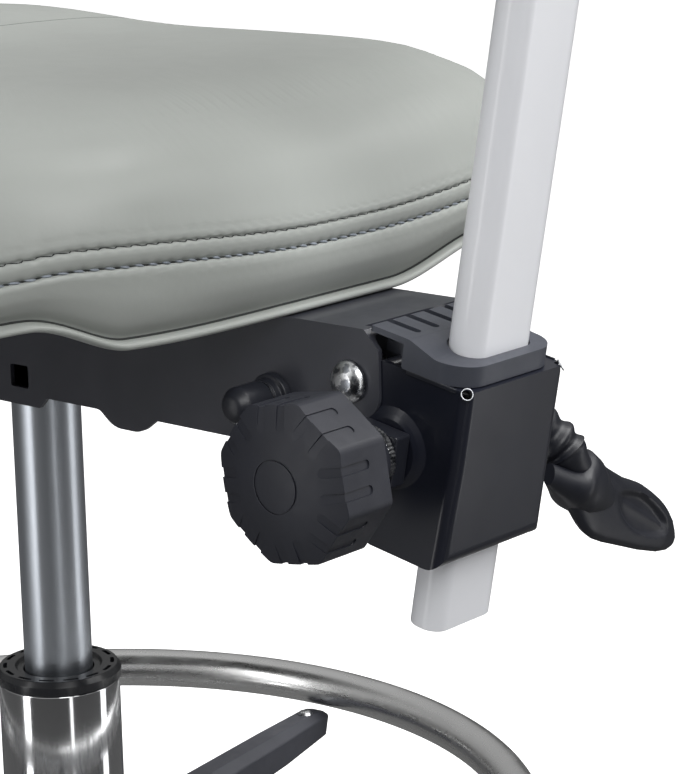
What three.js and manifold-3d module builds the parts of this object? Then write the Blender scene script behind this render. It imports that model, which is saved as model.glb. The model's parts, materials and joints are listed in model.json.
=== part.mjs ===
// Dentist stool: gas-lift stool with foot ring, upholstered seat and adjustable backrest.
// Millimetres, +Z up. Origin: on the floor, under the axis of the gas column.
// The backrest is at +Y, the front of the seat at -Y; +X is the side of the clamp knob.

import * as THREE from 'three';
import { mergeVertices } from 'three/addons/utils/BufferGeometryUtils.js';
import Module from 'manifold-3d';

const wasm = await Module();
wasm.setup();

// ---------------------------------------------------------------- driving dimensions

const GAP = 0.3; // clearance between touching pieces
const RIM = 385; // top rim of the column tube above the floor

const COLUMN = { radius: 25, bore: 22.6, bottom: 78, floorPlate: 4, rodHole: 5.6 };
const CYLINDER = { radius: 14, bore: 11.4, bottom: RIM - 145, top: RIM + 155, wallEnd: 15 };
const ROD = { radius: 5, bottom: 66, top: RIM - 27, pistonRadius: 11, pistonHeight: 18 };

const CASTORS = 5;
const BASE = { castorCircle: 243, hubRadius: 38, hubTop: 116, hubBottom: 62, tipTop: 80, tipBottom: 57 };
const CASTOR = { wheelRadius: 25, wheelWidth: 15, webWidth: 10, trail: 16, axleRadius: 3,
  hoodRadius: 29, hoodInner: 26.4, hoodWidth: 42, stemRadius: 5.3, stemTop: 74 };

const RING = { radius: 192.3, tube: 9, height: RIM - 64.8, spokes: 5, firstSpoke: 187 };
const SPIDER = { hubRadius: 36, hubBottom: 282, hubTop: 309, bore: COLUMN.radius + GAP,
  tip: RING.radius - 3 };
const CLAMP = { angle: RING.firstSpoke + 36, height: 295 };

const CHANNEL = { half: 30, sheet: 2, top: RIM + 177.8, front: -112, rear: 201, roofEnd: 191 };
const PIVOT = { y: 188, z: RIM + 158.5, radius: 4, headRadius: 7.5 };
const SHAFT = { y: 152, z: RIM + 148, radius: 5, capRadius: 6.9, washerRadius: 8.6, capEnd: 54 };
const LEVER_AXIS = { x: -22, z: RIM + 165 };

const SEAT_BOLTS = [[82, 62], [-82, 62], [-82, -82], [82, -82]]; // (x, y) of each
const SEAT = { halfWidth: 172, rear: 166, front: -232, corner: 86, board: RIM + 181.4,
  cushion: RIM + 190.4, top: RIM + 253 };

// The backrest leans back; its group has local axes X, u (to the rear) and w (along the bar).
const LEAN = THREE.MathUtils.degToRad(10.3);
const BAR = { y: 225.4, z: RIM + 169.6, width: 35, depth: 15, wall: 1.6, bottom: -102.7, top: 308 };
const BRACKET = { front: -15.5, rear: 15, bottom: -71.2, top: -6.4, flareTop: -34, halfTop: 27.2,
  halfBottom: 31, sheet: 2 };
const KNOB = { u: -14.1, w: -36.3, face: 85, dome: 4.5, depth: 22.5, radius: 28.9, turn: -3 };
const COLLAR = { half: 28.3, front: -29.5, rear: 14.3, corner: 10, bottom: -6, rimTop: 1.4, combBottom: 2.8,
  combTop: 5, combEnd: -12 };
const BACKREST = { centre: 275, width: 350, height: 180, depth: 46, pivot: 268 };

// ---------------------------------------------------------------- materials

const finish = (color, roughness, metalness = 0) =>
  new THREE.MeshStandardMaterial({ color, roughness, metalness });
const CHROME = finish(0xc9ccd0, 0.18, 1);
const STEEL = finish(0xb4b8bc, 0.35, 1);
const ZINC = finish(0xbfc3c4, 0.4, 1);
const ALUMINIUM = finish(0xb9bcc0, 0.3, 1);
const BLACK_PAINT = finish(0x26282c, 0.35);
const BLACK_PLASTIC = finish(0x2b2d30, 0.6);
const DARK_PLASTIC = finish(0x3a3c40, 0.5);
const GREY_RUBBER = finish(0x4a4c4e, 0.8);
const WHITE_PAINT = finish(0xdfe1e4, 0.3);
const LEATHER = finish(0xa3a9a2, 0.5);
const WOOD = finish(0xb99a6b, 0.7);

// ---------------------------------------------------------------- geometry helpers

// Turns any closed three.js geometry into a manifold solid with its faces pointing out.
function solid(geometry) {
  const bare = geometry.clone();
  bare.deleteAttribute('normal');
  bare.deleteAttribute('uv');
  const merged = mergeVertices(bare, 1e-4);
  const points = merged.attributes.position;
  const faces = [];
  let volume = 0;
  const corner = [0, 1, 2].map(() => new THREE.Vector3());
  for (let i = 0; i < merged.index.count; i += 3) {
    const ids = [0, 1, 2].map((k) => merged.index.getX(i + k));
    if (new Set(ids).size < 3) continue;
    ids.forEach((id, k) => corner[k].fromBufferAttribute(points, id));
    volume += corner[0].dot(corner[1].clone().cross(corner[2]));
    faces.push(ids);
  }
  const triVerts = new Uint32Array(faces.flatMap(([a, b, c]) => (volume > 0 ? [a, b, c] : [a, c, b])));
  const mesh = new wasm.Mesh({ numProp: 3, vertProperties: new Float32Array(points.array), triVerts });
  return new wasm.Manifold(mesh);
}

const join = (first, ...rest) => rest.reduce((sum, part) => sum.add(part), first);
const cut = (first, ...rest) => rest.reduce((left, part) => left.subtract(part), first);

function meshOf(name, material, body) {
  const { vertProperties, triVerts } = body.getMesh();
  const geometry = new THREE.BufferGeometry();
  geometry.setAttribute('position', new THREE.BufferAttribute(Float32Array.from(vertProperties), 3));
  geometry.setIndex(new THREE.BufferAttribute(Uint32Array.from(triVerts), 1));
  geometry.computeVertexNormals();
  const mesh = new THREE.Mesh(geometry, material);
  mesh.name = name;
  return mesh;
}

const place = (geometry, x = 0, y = 0, z = 0) => solid(geometry.translate(x, y, z));

// A box from its lowest corner to its highest.
const box = (low, high) => place(
  new THREE.BoxGeometry(...high.map((value, k) => value - low[k])),
  ...high.map((value, k) => (value + low[k]) / 2));

// A solid of revolution about the vertical through (x, y); profile points are [radius, z].
const turned = (profile, sides, x = 0, y = 0) => place(
  new THREE.LatheGeometry([...profile, profile[0]].map(([r, z]) => new THREE.Vector2(r, z)), sides)
    .rotateX(Math.PI / 2), x, y);

// The same, about the line along X through (y, z); profile points are [radius, x].
const turnedX = (profile, sides, y, z) => place(
  new THREE.LatheGeometry([...profile, profile[0]].map(([r, x]) => new THREE.Vector2(r, x)), sides)
    .rotateX(Math.PI / 2).rotateY(Math.PI / 2), 0, y, z);

const cylinder = (radius, low, high, sides, x = 0, y = 0) =>
  turned([[0, low], [radius, low], [radius, high], [0, high]], sides, x, y);
const cylinderX = (radius, low, high, sides, y, z) =>
  turnedX([[0, low], [radius, low], [radius, high], [0, high]], sides, y, z);

// An outline drawn in (x, y) and raised from low to high along Z.
const raised = (shape, low, high, segments = 6) => place(
  new THREE.ExtrudeGeometry(shape, { depth: high - low, bevelEnabled: false, curveSegments: segments }),
  0, 0, low);

// An outline drawn in (y, z) and raised from low to high along X.
const ALONG_X = new THREE.Matrix4().makeBasis(
  new THREE.Vector3(0, 1, 0), new THREE.Vector3(0, 0, 1), new THREE.Vector3(1, 0, 0));
const raisedX = (shape, low, high, segments = 6) => place(
  new THREE.ExtrudeGeometry(shape, { depth: high - low, bevelEnabled: false, curveSegments: segments })
    .applyMatrix4(ALONG_X), low);

// A round bar of the given radius along a curve.
function pipe(curve, radius, sides, steps) {
  const section = new THREE.Shape();
  section.absarc(0, 0, radius, 0, Math.PI * 2);
  return solid(new THREE.ExtrudeGeometry(section,
    { extrudePath: curve, steps, bevelEnabled: false, curveSegments: sides }));
}

function polygon(points) {
  return new THREE.Shape(points.map(([x, y]) => new THREE.Vector2(x, y)));
}

// A rectangle of width by height with round corners, centred on (x, y).
function roundedRectangle(width, height, radius, x = 0, y = 0) {
  const [a, b] = [width / 2 - radius, height / 2 - radius];
  const shape = new THREE.Shape();
  shape.absarc(x + a, y + b, radius, 0, Math.PI / 2);
  shape.absarc(x - a, y + b, radius, Math.PI / 2, Math.PI);
  shape.absarc(x - a, y - b, radius, Math.PI, Math.PI * 1.5);
  shape.absarc(x + a, y - b, radius, Math.PI * 1.5, Math.PI * 2);
  return shape;
}

const turnZ = (angle) => (body) => body.rotate([0, 0, angle]);
const stool = new THREE.Group();

// ---------------------------------------------------------------- star base and castors

// One arm points along +X; its plan tapers and its top and bottom slope to the castor socket.
function baseArm() {
  const { castorCircle: tip, hubTop, hubBottom, tipTop, tipBottom } = BASE;
  const plan = new THREE.Shape();
  plan.moveTo(0, -20);
  plan.lineTo(tip, -14);
  plan.absarc(tip, 0, 14, -Math.PI / 2, Math.PI / 2);
  plan.lineTo(0, 20);
  const side = new THREE.Shape();
  side.moveTo(0, hubBottom + 12);
  side.lineTo(tip * 0.75, tipBottom + 3);
  side.lineTo(tip - 18, tipBottom);
  side.lineTo(tip + 20, tipBottom);
  side.lineTo(tip + 20, tipTop - 4);
  side.lineTo(tip + 6, tipTop);
  side.quadraticCurveTo(tip * 0.5, hubTop - 16, 0, hubTop - 4);
  const slab = new THREE.ExtrudeGeometry(side, { depth: 60, bevelEnabled: false, curveSegments: 6 })
    .rotateX(Math.PI / 2);
  return raised(plan, 0, 200, 4).intersect(place(slab, 0, 30));
}

function starBase() {
  const hub = cylinder(BASE.hubRadius, BASE.hubBottom, BASE.hubTop, 24);
  let body = hub;
  for (let k = 0; k < CASTORS; k += 1) body = body.add(turnZ(-90 + 72 * k)(baseArm()));
  const columnSeat = cylinder(COLUMN.radius + GAP, COLUMN.bottom - GAP, BASE.hubTop + 1, 24);
  const clipRoom = cylinder(16, BASE.hubBottom - 1, COLUMN.bottom, 20);
  body = cut(body, columnSeat, clipRoom);
  for (let k = 0; k < CASTORS; k += 1) {
    const socket = cylinder(CASTOR.stemRadius + GAP, BASE.tipBottom - 1, CASTOR.stemTop + GAP, 12,
      BASE.castorCircle);
    body = body.subtract(turnZ(-90 + 72 * k)(socket));
  }
  return body;
}

// The housing of a castor whose arm points along +X: hood, web and stem. The axle lies along Y.
function castorHousing() {
  const { trail, wheelRadius, hoodRadius, hoodInner, hoodWidth, webWidth, axleRadius } = CASTOR;
  const flat = (shape, width) => place(
    new THREE.ExtrudeGeometry(shape, { depth: width, bevelEnabled: false, curveSegments: 6 })
      .rotateX(Math.PI / 2), trail, width / 2, wheelRadius);
  const hood = new THREE.Shape();
  hood.absarc(0, 0, hoodRadius, -0.12, Math.PI + 0.1);
  hood.absarc(0, 0, hoodInner, Math.PI + 0.1, -0.12, true);
  const web = new THREE.Shape();
  web.absarc(0, 0, hoodInner + 1, 0, Math.PI);
  web.absarc(0, 0, 9, Math.PI, Math.PI * 2);
  const axleHole = new THREE.Path();
  axleHole.absarc(0, 0, axleRadius + GAP, 0, Math.PI * 2);
  web.holes.push(axleHole);
  const boss = cylinder(8.5, 40, 56, 12);
  const stem = cylinder(CASTOR.stemRadius, 50, CASTOR.stemTop, 12);
  const wheelRoom = [-1, 1].map((side) => place(
    new THREE.CylinderGeometry(hoodInner, hoodInner, 30, 12),
    trail, side * (webWidth / 2 + 15), wheelRadius));
  return join(cut(join(flat(web, webWidth), boss), ...wheelRoom), flat(hood, hoodWidth), stem);
}

// A wheel with its axis along Y, its inner face at y = 0 and its outer face at y = wheelWidth.
// The tread's facets touch the wheel's radius, and one of them lies on the floor.
const WHEEL_SIDES = 18;
function castorWheel() {
  const { wheelWidth: w, axleRadius } = CASTOR;
  const r = CASTOR.wheelRadius / Math.cos(Math.PI / WHEEL_SIDES);
  const bore = axleRadius + GAP;
  const profile = [[bore, 0], [r - 2, 0], [r, 2], [r, w - 4], [r - 4, w - 1], [r - 7, w - 3], [7, w - 3],
    [bore, w]];
  const outline = [...profile, profile[0]].map(([a, b]) => new THREE.Vector2(a, b));
  const wheel = new THREE.LatheGeometry(outline, WHEEL_SIDES);
  return solid(wheel.rotateY(Math.PI / WHEEL_SIDES));
}

function addCastor(number, angle) {
  const assembly = new THREE.Group();
  assembly.position.set(
    BASE.castorCircle * Math.cos(angle), BASE.castorCircle * Math.sin(angle), 0);
  assembly.rotation.z = angle;
  const prefix = `castor_${number}`;
  assembly.add(meshOf(`${prefix}_housing`, BLACK_PLASTIC, castorHousing()));
  const inner = CASTOR.webWidth / 2 + 0.6;
  const reach = inner + CASTOR.wheelWidth - 1;
  const axle = place(new THREE.CylinderGeometry(CASTOR.axleRadius, CASTOR.axleRadius, 2 * reach, 12));
  const axleMesh = meshOf(`${prefix}_axle`, ZINC, axle);
  const wheels = [['left', 1], ['right', -1]].map(([side, sign]) => {
    const mesh = meshOf(`${prefix}_wheel_${side}`, GREY_RUBBER, castorWheel());
    mesh.position.set(CASTOR.trail, sign * inner, CASTOR.wheelRadius);
    if (sign < 0) mesh.rotation.z = Math.PI;
    return mesh;
  });
  axleMesh.position.set(CASTOR.trail, 0, CASTOR.wheelRadius);
  assembly.add(axleMesh, ...wheels);
  stool.add(assembly);
}

stool.add(meshOf('star_base', ALUMINIUM, starBase()));
for (let k = 0; k < CASTORS; k += 1) addCastor(k + 1, THREE.MathUtils.degToRad(-90 + 72 * k));

// ---------------------------------------------------------------- column and gas spring

function columnTube() {
  const { radius, bore, bottom, floorPlate, rodHole } = COLUMN;
  return turned([[rodHole, bottom], [radius, bottom], [radius, RIM], [bore, RIM], [bore, bottom + floorPlate],
    [rodHole, bottom + floorPlate]], 32);
}

// The cap sits on the rim: a chamfered ring with a recess round the cylinder and curved slots.
function columnCap() {
  const hole = CYLINDER.radius + 0.6;
  const body = turned([[hole, RIM + GAP], [25.6, RIM + GAP], [25.6, RIM + 4.2], [23.6, RIM + 6.4],
    [17.6, RIM + 6.4], [17.2, RIM + 4.2], [hole, RIM + 4.2]], 32);
  const slots = Array.from({ length: 12 }, (_, k) =>
    turnZ(30 * k)(box([19.6, -3.6, RIM + 5.2], [21.8, 3.6, RIM + 8])));
  return cut(body, ...slots);
}

stool.add(meshOf('column_tube', CHROME, columnTube()));
stool.add(meshOf('column_cap', BLACK_PLASTIC, columnCap()));
stool.add(meshOf('column_bush', BLACK_PLASTIC, turned([[CYLINDER.radius + GAP, RIM - 84],
  [COLUMN.bore - GAP, RIM - 84], [COLUMN.bore - GAP, RIM - 0.5], [CYLINDER.radius + GAP, RIM - 0.5]], 24)));

const bearingFloor = COLUMN.bottom + COLUMN.floorPlate + GAP;
stool.add(meshOf('thrust_bearing', STEEL, turned([[ROD.radius + GAP, bearingFloor], [13, bearingFloor],
  [13, bearingFloor + 6], [ROD.radius + GAP, bearingFloor + 6]], 20)));

// The rod has a shoulder that stands on the thrust bearing, and the piston at its top.
function pistonRod() {
  const shoulder = bearingFloor + 6 + GAP;
  return turned([[0, ROD.bottom], [ROD.radius, ROD.bottom], [ROD.radius, shoulder], [8.5, shoulder],
    [8.5, shoulder + 4], [ROD.radius, shoulder + 4], [ROD.radius, ROD.top], [ROD.pistonRadius, ROD.top],
    [ROD.pistonRadius, ROD.top + ROD.pistonHeight], [0, ROD.top + ROD.pistonHeight]], 16);
}

stool.add(meshOf('piston_rod', STEEL, pistonRod()));
stool.add(meshOf('retaining_clip', ZINC, turned([[ROD.radius + GAP, COLUMN.bottom - 4],
  [11, COLUMN.bottom - 4], [11, COLUMN.bottom - 1.5], [ROD.radius + GAP, COLUMN.bottom - 1.5]], 16)));

// The cylinder is open round the rod at the bottom and has a bore for the valve pin on top.
function gasCylinder() {
  const { radius, bore, bottom, top, wallEnd } = CYLINDER;
  const pinBore = 3.3;
  return turned([[ROD.radius + GAP, bottom], [radius, bottom], [radius, top - 26], [radius - 1.2, top],
    [pinBore, top], [pinBore, top - wallEnd], [bore, top - wallEnd - 3], [bore, bottom + wallEnd],
    [ROD.radius + GAP, bottom + wallEnd]], 28);
}

stool.add(meshOf('gas_cylinder', STEEL, gasCylinder()));
stool.add(meshOf('valve_pin', ZINC, turned([[0, CYLINDER.top - 10], [3, CYLINDER.top - 10],
  [3, CYLINDER.top + 3.8], [6, CYLINDER.top + 3.8], [6, CYLINDER.top + 5.5], [0, CYLINDER.top + 5.5]], 12)));

// ---------------------------------------------------------------- foot ring

// A spoke along +X: its plan tapers outwards and it thins towards the blunt tip under the ring.
function spoke() {
  const top = RING.height - RING.tube - GAP;
  const { tip } = SPIDER;
  const plan = polygon([[30, -17], [tip - 4, -9.5], [tip, -6], [tip, 6], [tip - 4, 9.5], [30, 17]]);
  const side = polygon([[28, SPIDER.hubBottom + 2], [tip - 30, top - 13], [tip, top - 8], [tip, top],
    [tip - 40, top], [28, SPIDER.hubTop]]);
  const slab = new THREE.ExtrudeGeometry(side, { depth: 60, bevelEnabled: false }).rotateX(Math.PI / 2);
  return raised(plan, 250, 330).intersect(place(slab, 0, 30));
}

function ringSpider() {
  let body = cylinder(SPIDER.hubRadius, SPIDER.hubBottom, SPIDER.hubTop, 30);
  for (let k = 0; k < RING.spokes; k += 1) {
    body = body.add(turnZ(RING.firstSpoke + 72 * k)(spoke()));
  }
  const screwHole = turnZ(CLAMP.angle)(cylinderX(4.4, 20, 60, 12, 0, CLAMP.height));
  return cut(body, cylinder(SPIDER.bore, 200, 400, 32), screwHole);
}

function ringClampKnob() {
  const inner = COLUMN.radius + 0.6;
  const knob = turnedX([[0, inner], [4, inner], [4, 46], [9, 46], [9, 50], [17, 52], [19, 55],
    [19, 66], [16, 69], [0, 69]], 14, 0, CLAMP.height);
  return turnZ(CLAMP.angle)(knob);
}

const ringTube = new THREE.TorusGeometry(RING.radius, RING.tube, 8, 44);
stool.add(meshOf('foot_ring', CHROME, place(ringTube, 0, 0, RING.height)));
stool.add(meshOf('ring_spider', BLACK_PLASTIC, ringSpider()));
stool.add(meshOf('ring_clamp_knob', BLACK_PLASTIC, ringClampKnob()));

// ---------------------------------------------------------------- mechanism channel

// The side outline of the pressed channel, drawn in (y, z).
function channelSide() {
  const z = (height) => RIM + height;
  const shape = new THREE.Shape();
  shape.moveTo(CHANNEL.front, z(138));
  shape.lineTo(CHANNEL.front + 14, z(125));
  shape.lineTo(28.5, z(125));
  shape.lineTo(33, z(129.5));
  shape.lineTo(60, z(129.5));
  shape.quadraticCurveTo(68, z(123.4), 77, z(123.4));
  shape.quadraticCurveTo(86, z(123.4), 94, z(129.5));
  shape.lineTo(146, z(129.5));
  shape.lineTo(178, z(144.5));
  shape.quadraticCurveTo(CHANNEL.rear, z(144.5), CHANNEL.rear, z(157));
  shape.lineTo(CHANNEL.rear, z(171));
  shape.lineTo(CHANNEL.rear - 6.5, z(177.8));
  shape.lineTo(CHANNEL.front, z(177.8));
  return shape;
}

function mechanismChannel() {
  const { half, sheet, top, roofEnd } = CHANNEL;
  const outer = raisedX(channelSide(), -half, half, 5);
  const inside = box([-half + sheet, -300, 400], [half - sheet, 300, top - sheet]);
  const rearNotch = box([-half + 4, roofEnd, top - 20], [half - 4, 300, top + 5]);
  const squareHole = box([half - 10, 13, RIM + 131.9], [half + 5, 23, RIM + 140.9]);
  const shaftHole = cylinderX(SHAFT.radius + GAP, -60, 60, 14, SHAFT.y, SHAFT.z);
  const pinHole = cylinderX(PIVOT.radius + GAP, -60, 60, 14, PIVOT.y, PIVOT.z);
  const leverSlot = box([-half - 5, -9, LEVER_AXIS.z - 10], [-half + 10, 9, LEVER_AXIS.z + 8]);
  return cut(outer, inside, rearNotch, squareHole, shaftHole, pinHole, leverSlot);
}

// The taper hub holds the top of the gas cylinder between the side plates.
function taperHub() {
  const { half, sheet } = CHANNEL;
  const reach = half - sheet - GAP;
  const block = box([-reach, -24, RIM + 126], [reach, 24, RIM + 150]);
  return block.subtract(cylinder(CYLINDER.radius + GAP, RIM + 100, RIM + 200, 28));
}

function seatPlate() {
  const low = CHANNEL.top + GAP;
  let plate = raised(roundedRectangle(200, 190, 14, 0, -10), low, low + 2.9, 3);
  for (const [x, y] of SEAT_BOLTS) plate = plate.subtract(cylinder(3.3, low - 5, low + 10, 10, x, y));
  return plate;
}

stool.add(meshOf('mechanism_channel', BLACK_PAINT, mechanismChannel()));
stool.add(meshOf('taper_hub', BLACK_PAINT, taperHub()));
stool.add(meshOf('seat_plate', BLACK_PAINT, seatPlate()));
SEAT_BOLTS.forEach(([x, y], k) => {
  const head = CHANNEL.top - 4.4;
  stool.add(meshOf(`seat_bolt_${k + 1}`, ZINC, turned([[0, head], [5.5, head], [5.5, head + 4.2],
    [3, head + 4.2], [3, head + 17], [0, head + 17]], 10, x, y)));
});

// The height lever turns about a line along Y; its inner end lies over the valve pin.
function heightLever() {
  const z = LEVER_AXIS.z;
  const path = new THREE.CatmullRomCurve3([[5, z], [-20, z], [-42, z], [-66, z - 12], [-110, z - 20],
    [-138, z - 24]].map(([x, height]) => new THREE.Vector3(x, 0, height)), false, 'centripetal');
  const paddle = raised(roundedRectangle(46, 24, 9, -148, 0), z - 29, z - 21, 4);
  return join(pipe(path, 4, 5, 16), paddle);
}

stool.add(meshOf('height_lever', BLACK_PLASTIC, heightLever()));

// ---------------------------------------------------------------- seat

// The seat's plan: straight front, swelling sides and large round rear corners.
function seatPlan(inset) {
  const { halfWidth, rear, front, corner } = SEAT;
  const [w, back, nose, r] = [halfWidth - inset, rear - inset, front + inset, corner - inset];
  const frontCorner = 110 - inset;
  const shape = new THREE.Shape();
  shape.absarc(w - r, back - r, r, 0, Math.PI / 2);
  shape.absarc(-w + r, back - r, r, Math.PI / 2, Math.PI);
  shape.absarc(-w + frontCorner, nose + frontCorner, frontCorner, Math.PI, Math.PI * 1.5);
  shape.absarc(w - frontCorner, nose + frontCorner, frontCorner, Math.PI * 1.5, Math.PI * 2);
  return shape;
}

function seatBoard() {
  let board = raised(seatPlan(6), SEAT.board, SEAT.cushion - GAP, 6);
  for (const [x, y] of SEAT_BOLTS) board = board.subtract(cylinder(3.3, 400, 800, 10, x, y));
  return board;
}

function seatCushion() {
  const bevel = 22;
  const geometry = new THREE.ExtrudeGeometry(seatPlan(bevel), {
    depth: SEAT.top - SEAT.cushion - bevel - 6, bevelEnabled: true, bevelThickness: bevel, bevelSize: bevel,
    bevelSegments: 3, curveSegments: 7 });
  const cushion = place(geometry, 0, 0, SEAT.cushion + 6);
  return cushion.intersect(box([-300, -300, SEAT.cushion], [300, 300, SEAT.top]));
}

stool.add(meshOf('seat_board', WOOD, seatBoard()));
stool.add(meshOf('seat_cushion', LEATHER, seatCushion()));

// ---------------------------------------------------------------- pivot pin, cross shaft and tilt lever

stool.add(meshOf('pivot_pin', ZINC, turnedX([[0, -CHANNEL.half - 3], [6, -CHANNEL.half - 3],
  [6, -CHANNEL.half - GAP], [PIVOT.radius, -CHANNEL.half - GAP], [PIVOT.radius, CHANNEL.half + GAP],
  [PIVOT.headRadius, CHANNEL.half + GAP], [PIVOT.headRadius, CHANNEL.half + 1.6], [5, CHANNEL.half + 3.8],
  [0, CHANNEL.half + 4.6]], 16, PIVOT.y, PIVOT.z)));

stool.add(meshOf('cross_shaft', ZINC, cylinderX(SHAFT.radius, -46, CHANNEL.half + 12, 14, SHAFT.y, SHAFT.z)));

// The cap closes the near end of the shaft: washer, body and dome.
stool.add(meshOf('shaft_end_cap', BLACK_PLASTIC, turnedX([[SHAFT.radius + GAP, CHANNEL.half + 0.4],
  [SHAFT.washerRadius, CHANNEL.half + 0.4], [SHAFT.washerRadius, CHANNEL.half + 2.6],
  [SHAFT.capRadius, CHANNEL.half + 2.8], [SHAFT.capRadius, SHAFT.capEnd - 4.5],
  [4.6, SHAFT.capEnd - 1.2], [0, SHAFT.capEnd], [0, CHANNEL.half + 12.4],
  [SHAFT.radius + GAP, CHANNEL.half + 12.4]],
16, SHAFT.y, SHAFT.z)));

// The lever clamps the far end of the shaft, swings out and down and ends in an oval paddle.
const LEVER = { neck: new THREE.Vector3(-77, 206, RIM + 103.5), tip: new THREE.Vector3(-147, 206, RIM + 58.5),
  facing: new THREE.Vector3(0, 0.95, 0.3), stalkRadius: 9.3, thickness: 9 };
function tiltLever() {
  const { y, z } = SHAFT;
  const path = new THREE.CatmullRomCurve3([[-CHANNEL.half - 5, y, z], [-42, y + 1, z], [-56, 178, RIM + 132],
    [-66, 198, RIM + 115], [-79, 205, RIM + 102], [-98, 206, RIM + 90]]
    .map((point) => new THREE.Vector3(...point)), false, 'centripetal');
  const stalk = pipe(path, LEVER.stalkRadius, 5, 14);
  const reach = LEVER.tip.clone().sub(LEVER.neck);
  const length = reach.length();
  const outline = new THREE.Shape();
  outline.moveTo(0, -11);
  outline.bezierCurveTo(length * 0.3, -13, length * 0.35, -18, length * 0.58, -17.5);
  outline.bezierCurveTo(length * 0.85, -17, length, -9, length, 0);
  outline.bezierCurveTo(length, 9, length * 0.85, 17, length * 0.58, 17.5);
  outline.bezierCurveTo(length * 0.35, 18, length * 0.3, 13, 0, 11);
  const flat = new THREE.ExtrudeGeometry(outline,
    { depth: LEVER.thickness, bevelEnabled: false, curveSegments: 5 });
  const along = reach.normalize();
  const across = LEVER.facing.clone().cross(along).normalize();
  const normal = along.clone().cross(across);
  flat.translate(0, 0, -LEVER.thickness / 2);
  flat.applyMatrix4(new THREE.Matrix4().makeBasis(along, across, normal));
  const paddle = place(flat, LEVER.neck.x, LEVER.neck.y, LEVER.neck.z);
  const shaftHole = cylinderX(SHAFT.radius + GAP, -47, 0, 14, SHAFT.y, SHAFT.z);
  return cut(join(stalk, paddle), shaftHole);
}

stool.add(meshOf('tilt_lever', BLACK_PLASTIC, tiltLever()));

// ---------------------------------------------------------------- backrest carrier

const carrier = new THREE.Group();
carrier.position.set(0, BAR.y, BAR.z);
carrier.rotation.x = -LEAN;
stool.add(carrier);

// Local coordinates, in the carrier, of the pivot that the bracket turns about.
const pivotU = (PIVOT.y - BAR.y) * Math.cos(LEAN) - (PIVOT.z - BAR.z) * Math.sin(LEAN);
const pivotW = (PIVOT.y - BAR.y) * Math.sin(LEAN) + (PIVOT.z - BAR.z) * Math.cos(LEAN);

// The bracket is folded sheet: flared side plates with ears, a rear plate and a bent top flange.
function backrestBracket() {
  const { front, rear, bottom, top, flareTop, halfTop, halfBottom, sheet } = BRACKET;
  const widths = (inset) => polygon([[-halfBottom + inset, bottom], [halfBottom - inset, bottom],
    [halfTop - inset, flareTop], [halfTop - inset, top + 40], [-halfTop + inset, top + 40],
    [-halfTop + inset, flareTop]]);
  const standing = (shape) => place(new THREE.ExtrudeGeometry(shape, { depth: 200, bevelEnabled: false })
    .rotateX(Math.PI / 2), 0, 100);
  const side = new THREE.Shape();
  side.moveTo(rear - 3, bottom);
  side.lineTo(rear, bottom + 3);
  side.lineTo(rear, top);
  side.lineTo(pivotU + 12, top);
  side.absarc(pivotU, pivotW, 12.5, 0.9, Math.PI + 0.5);
  side.lineTo(front - 8, bottom + 18);
  side.lineTo(front - 4, bottom);
  const outer = raisedX(side, -60, 60, 6).intersect(standing(widths(0)));
  const inner = box([-60, -100, bottom - 30], [60, rear - sheet, top - sheet])
    .intersect(standing(widths(sheet)));
  const barRoom = raised(roundedRectangle(BAR.width + 2, BAR.depth + 2, 7, 0, 0), -200, 200, 4);
  const frontOpen = box([-halfTop + sheet, -100, top - 30], [halfTop - sheet, front + 3, top + 60]);
  const pinHole = cylinderX(PIVOT.radius + GAP, -60, 60, 14, pivotU, pivotW);
  const screwHole = cylinderX(4.4, -60, 60, 12, KNOB.u, KNOB.w);
  return cut(outer, inner, barRoom, frontOpen, pinHole, screwHole);
}

// The sleeve guides the bar: a rim and skirt with round rear corners, and a raised comb at the front.
function collarSleeve() {
  const { half, front, rear, corner, bottom, rimTop, combBottom, combTop, combEnd } = COLLAR;
  const plan = new THREE.Shape();
  plan.moveTo(-half, front);
  plan.lineTo(half, front);
  plan.absarc(half - corner, rear - corner, corner, 0, Math.PI / 2);
  plan.absarc(-half + corner, rear - corner, corner, Math.PI / 2, Math.PI);
  const rim = raised(plan, bottom, rimTop, 5).subtract(box([-60, -60, -20], [60, combEnd - 2, 20]));
  const comb = raised(plan, combBottom, combTop, 5).subtract(box([-60, combEnd, -20], [60, 60, 20]));
  const ramp = raisedX(polygon([[combEnd - 2, rimTop - 2], [combEnd + 12, rimTop - 2], [combEnd, combTop],
    [combEnd - 2, combTop]]), -half, half);
  const slots = [-20, -10, 0, 10, 20].map((x) => box([x - 1.6, front - 1, -10], [x + 1.6, combEnd - 3, 20]));
  const bore = raised(roundedRectangle(BAR.width + 2 * GAP, BAR.depth + 2 * GAP, 7.4), -50, 50, 5);
  return cut(join(rim, comb, ramp), ...slots, bore);
}

// The clamp screw presses on the bar's front through the bracket, with nut, washer and knob.
function clampScrew() {
  const head = -BRACKET.halfBottom - 1;
  const end = KNOB.face - 8;
  return turnedX([[0, head - 4], [6.5, head - 4], [6.5, head], [4, head], [4, end], [0, end]], 12,
    KNOB.u, KNOB.w);
}

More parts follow.
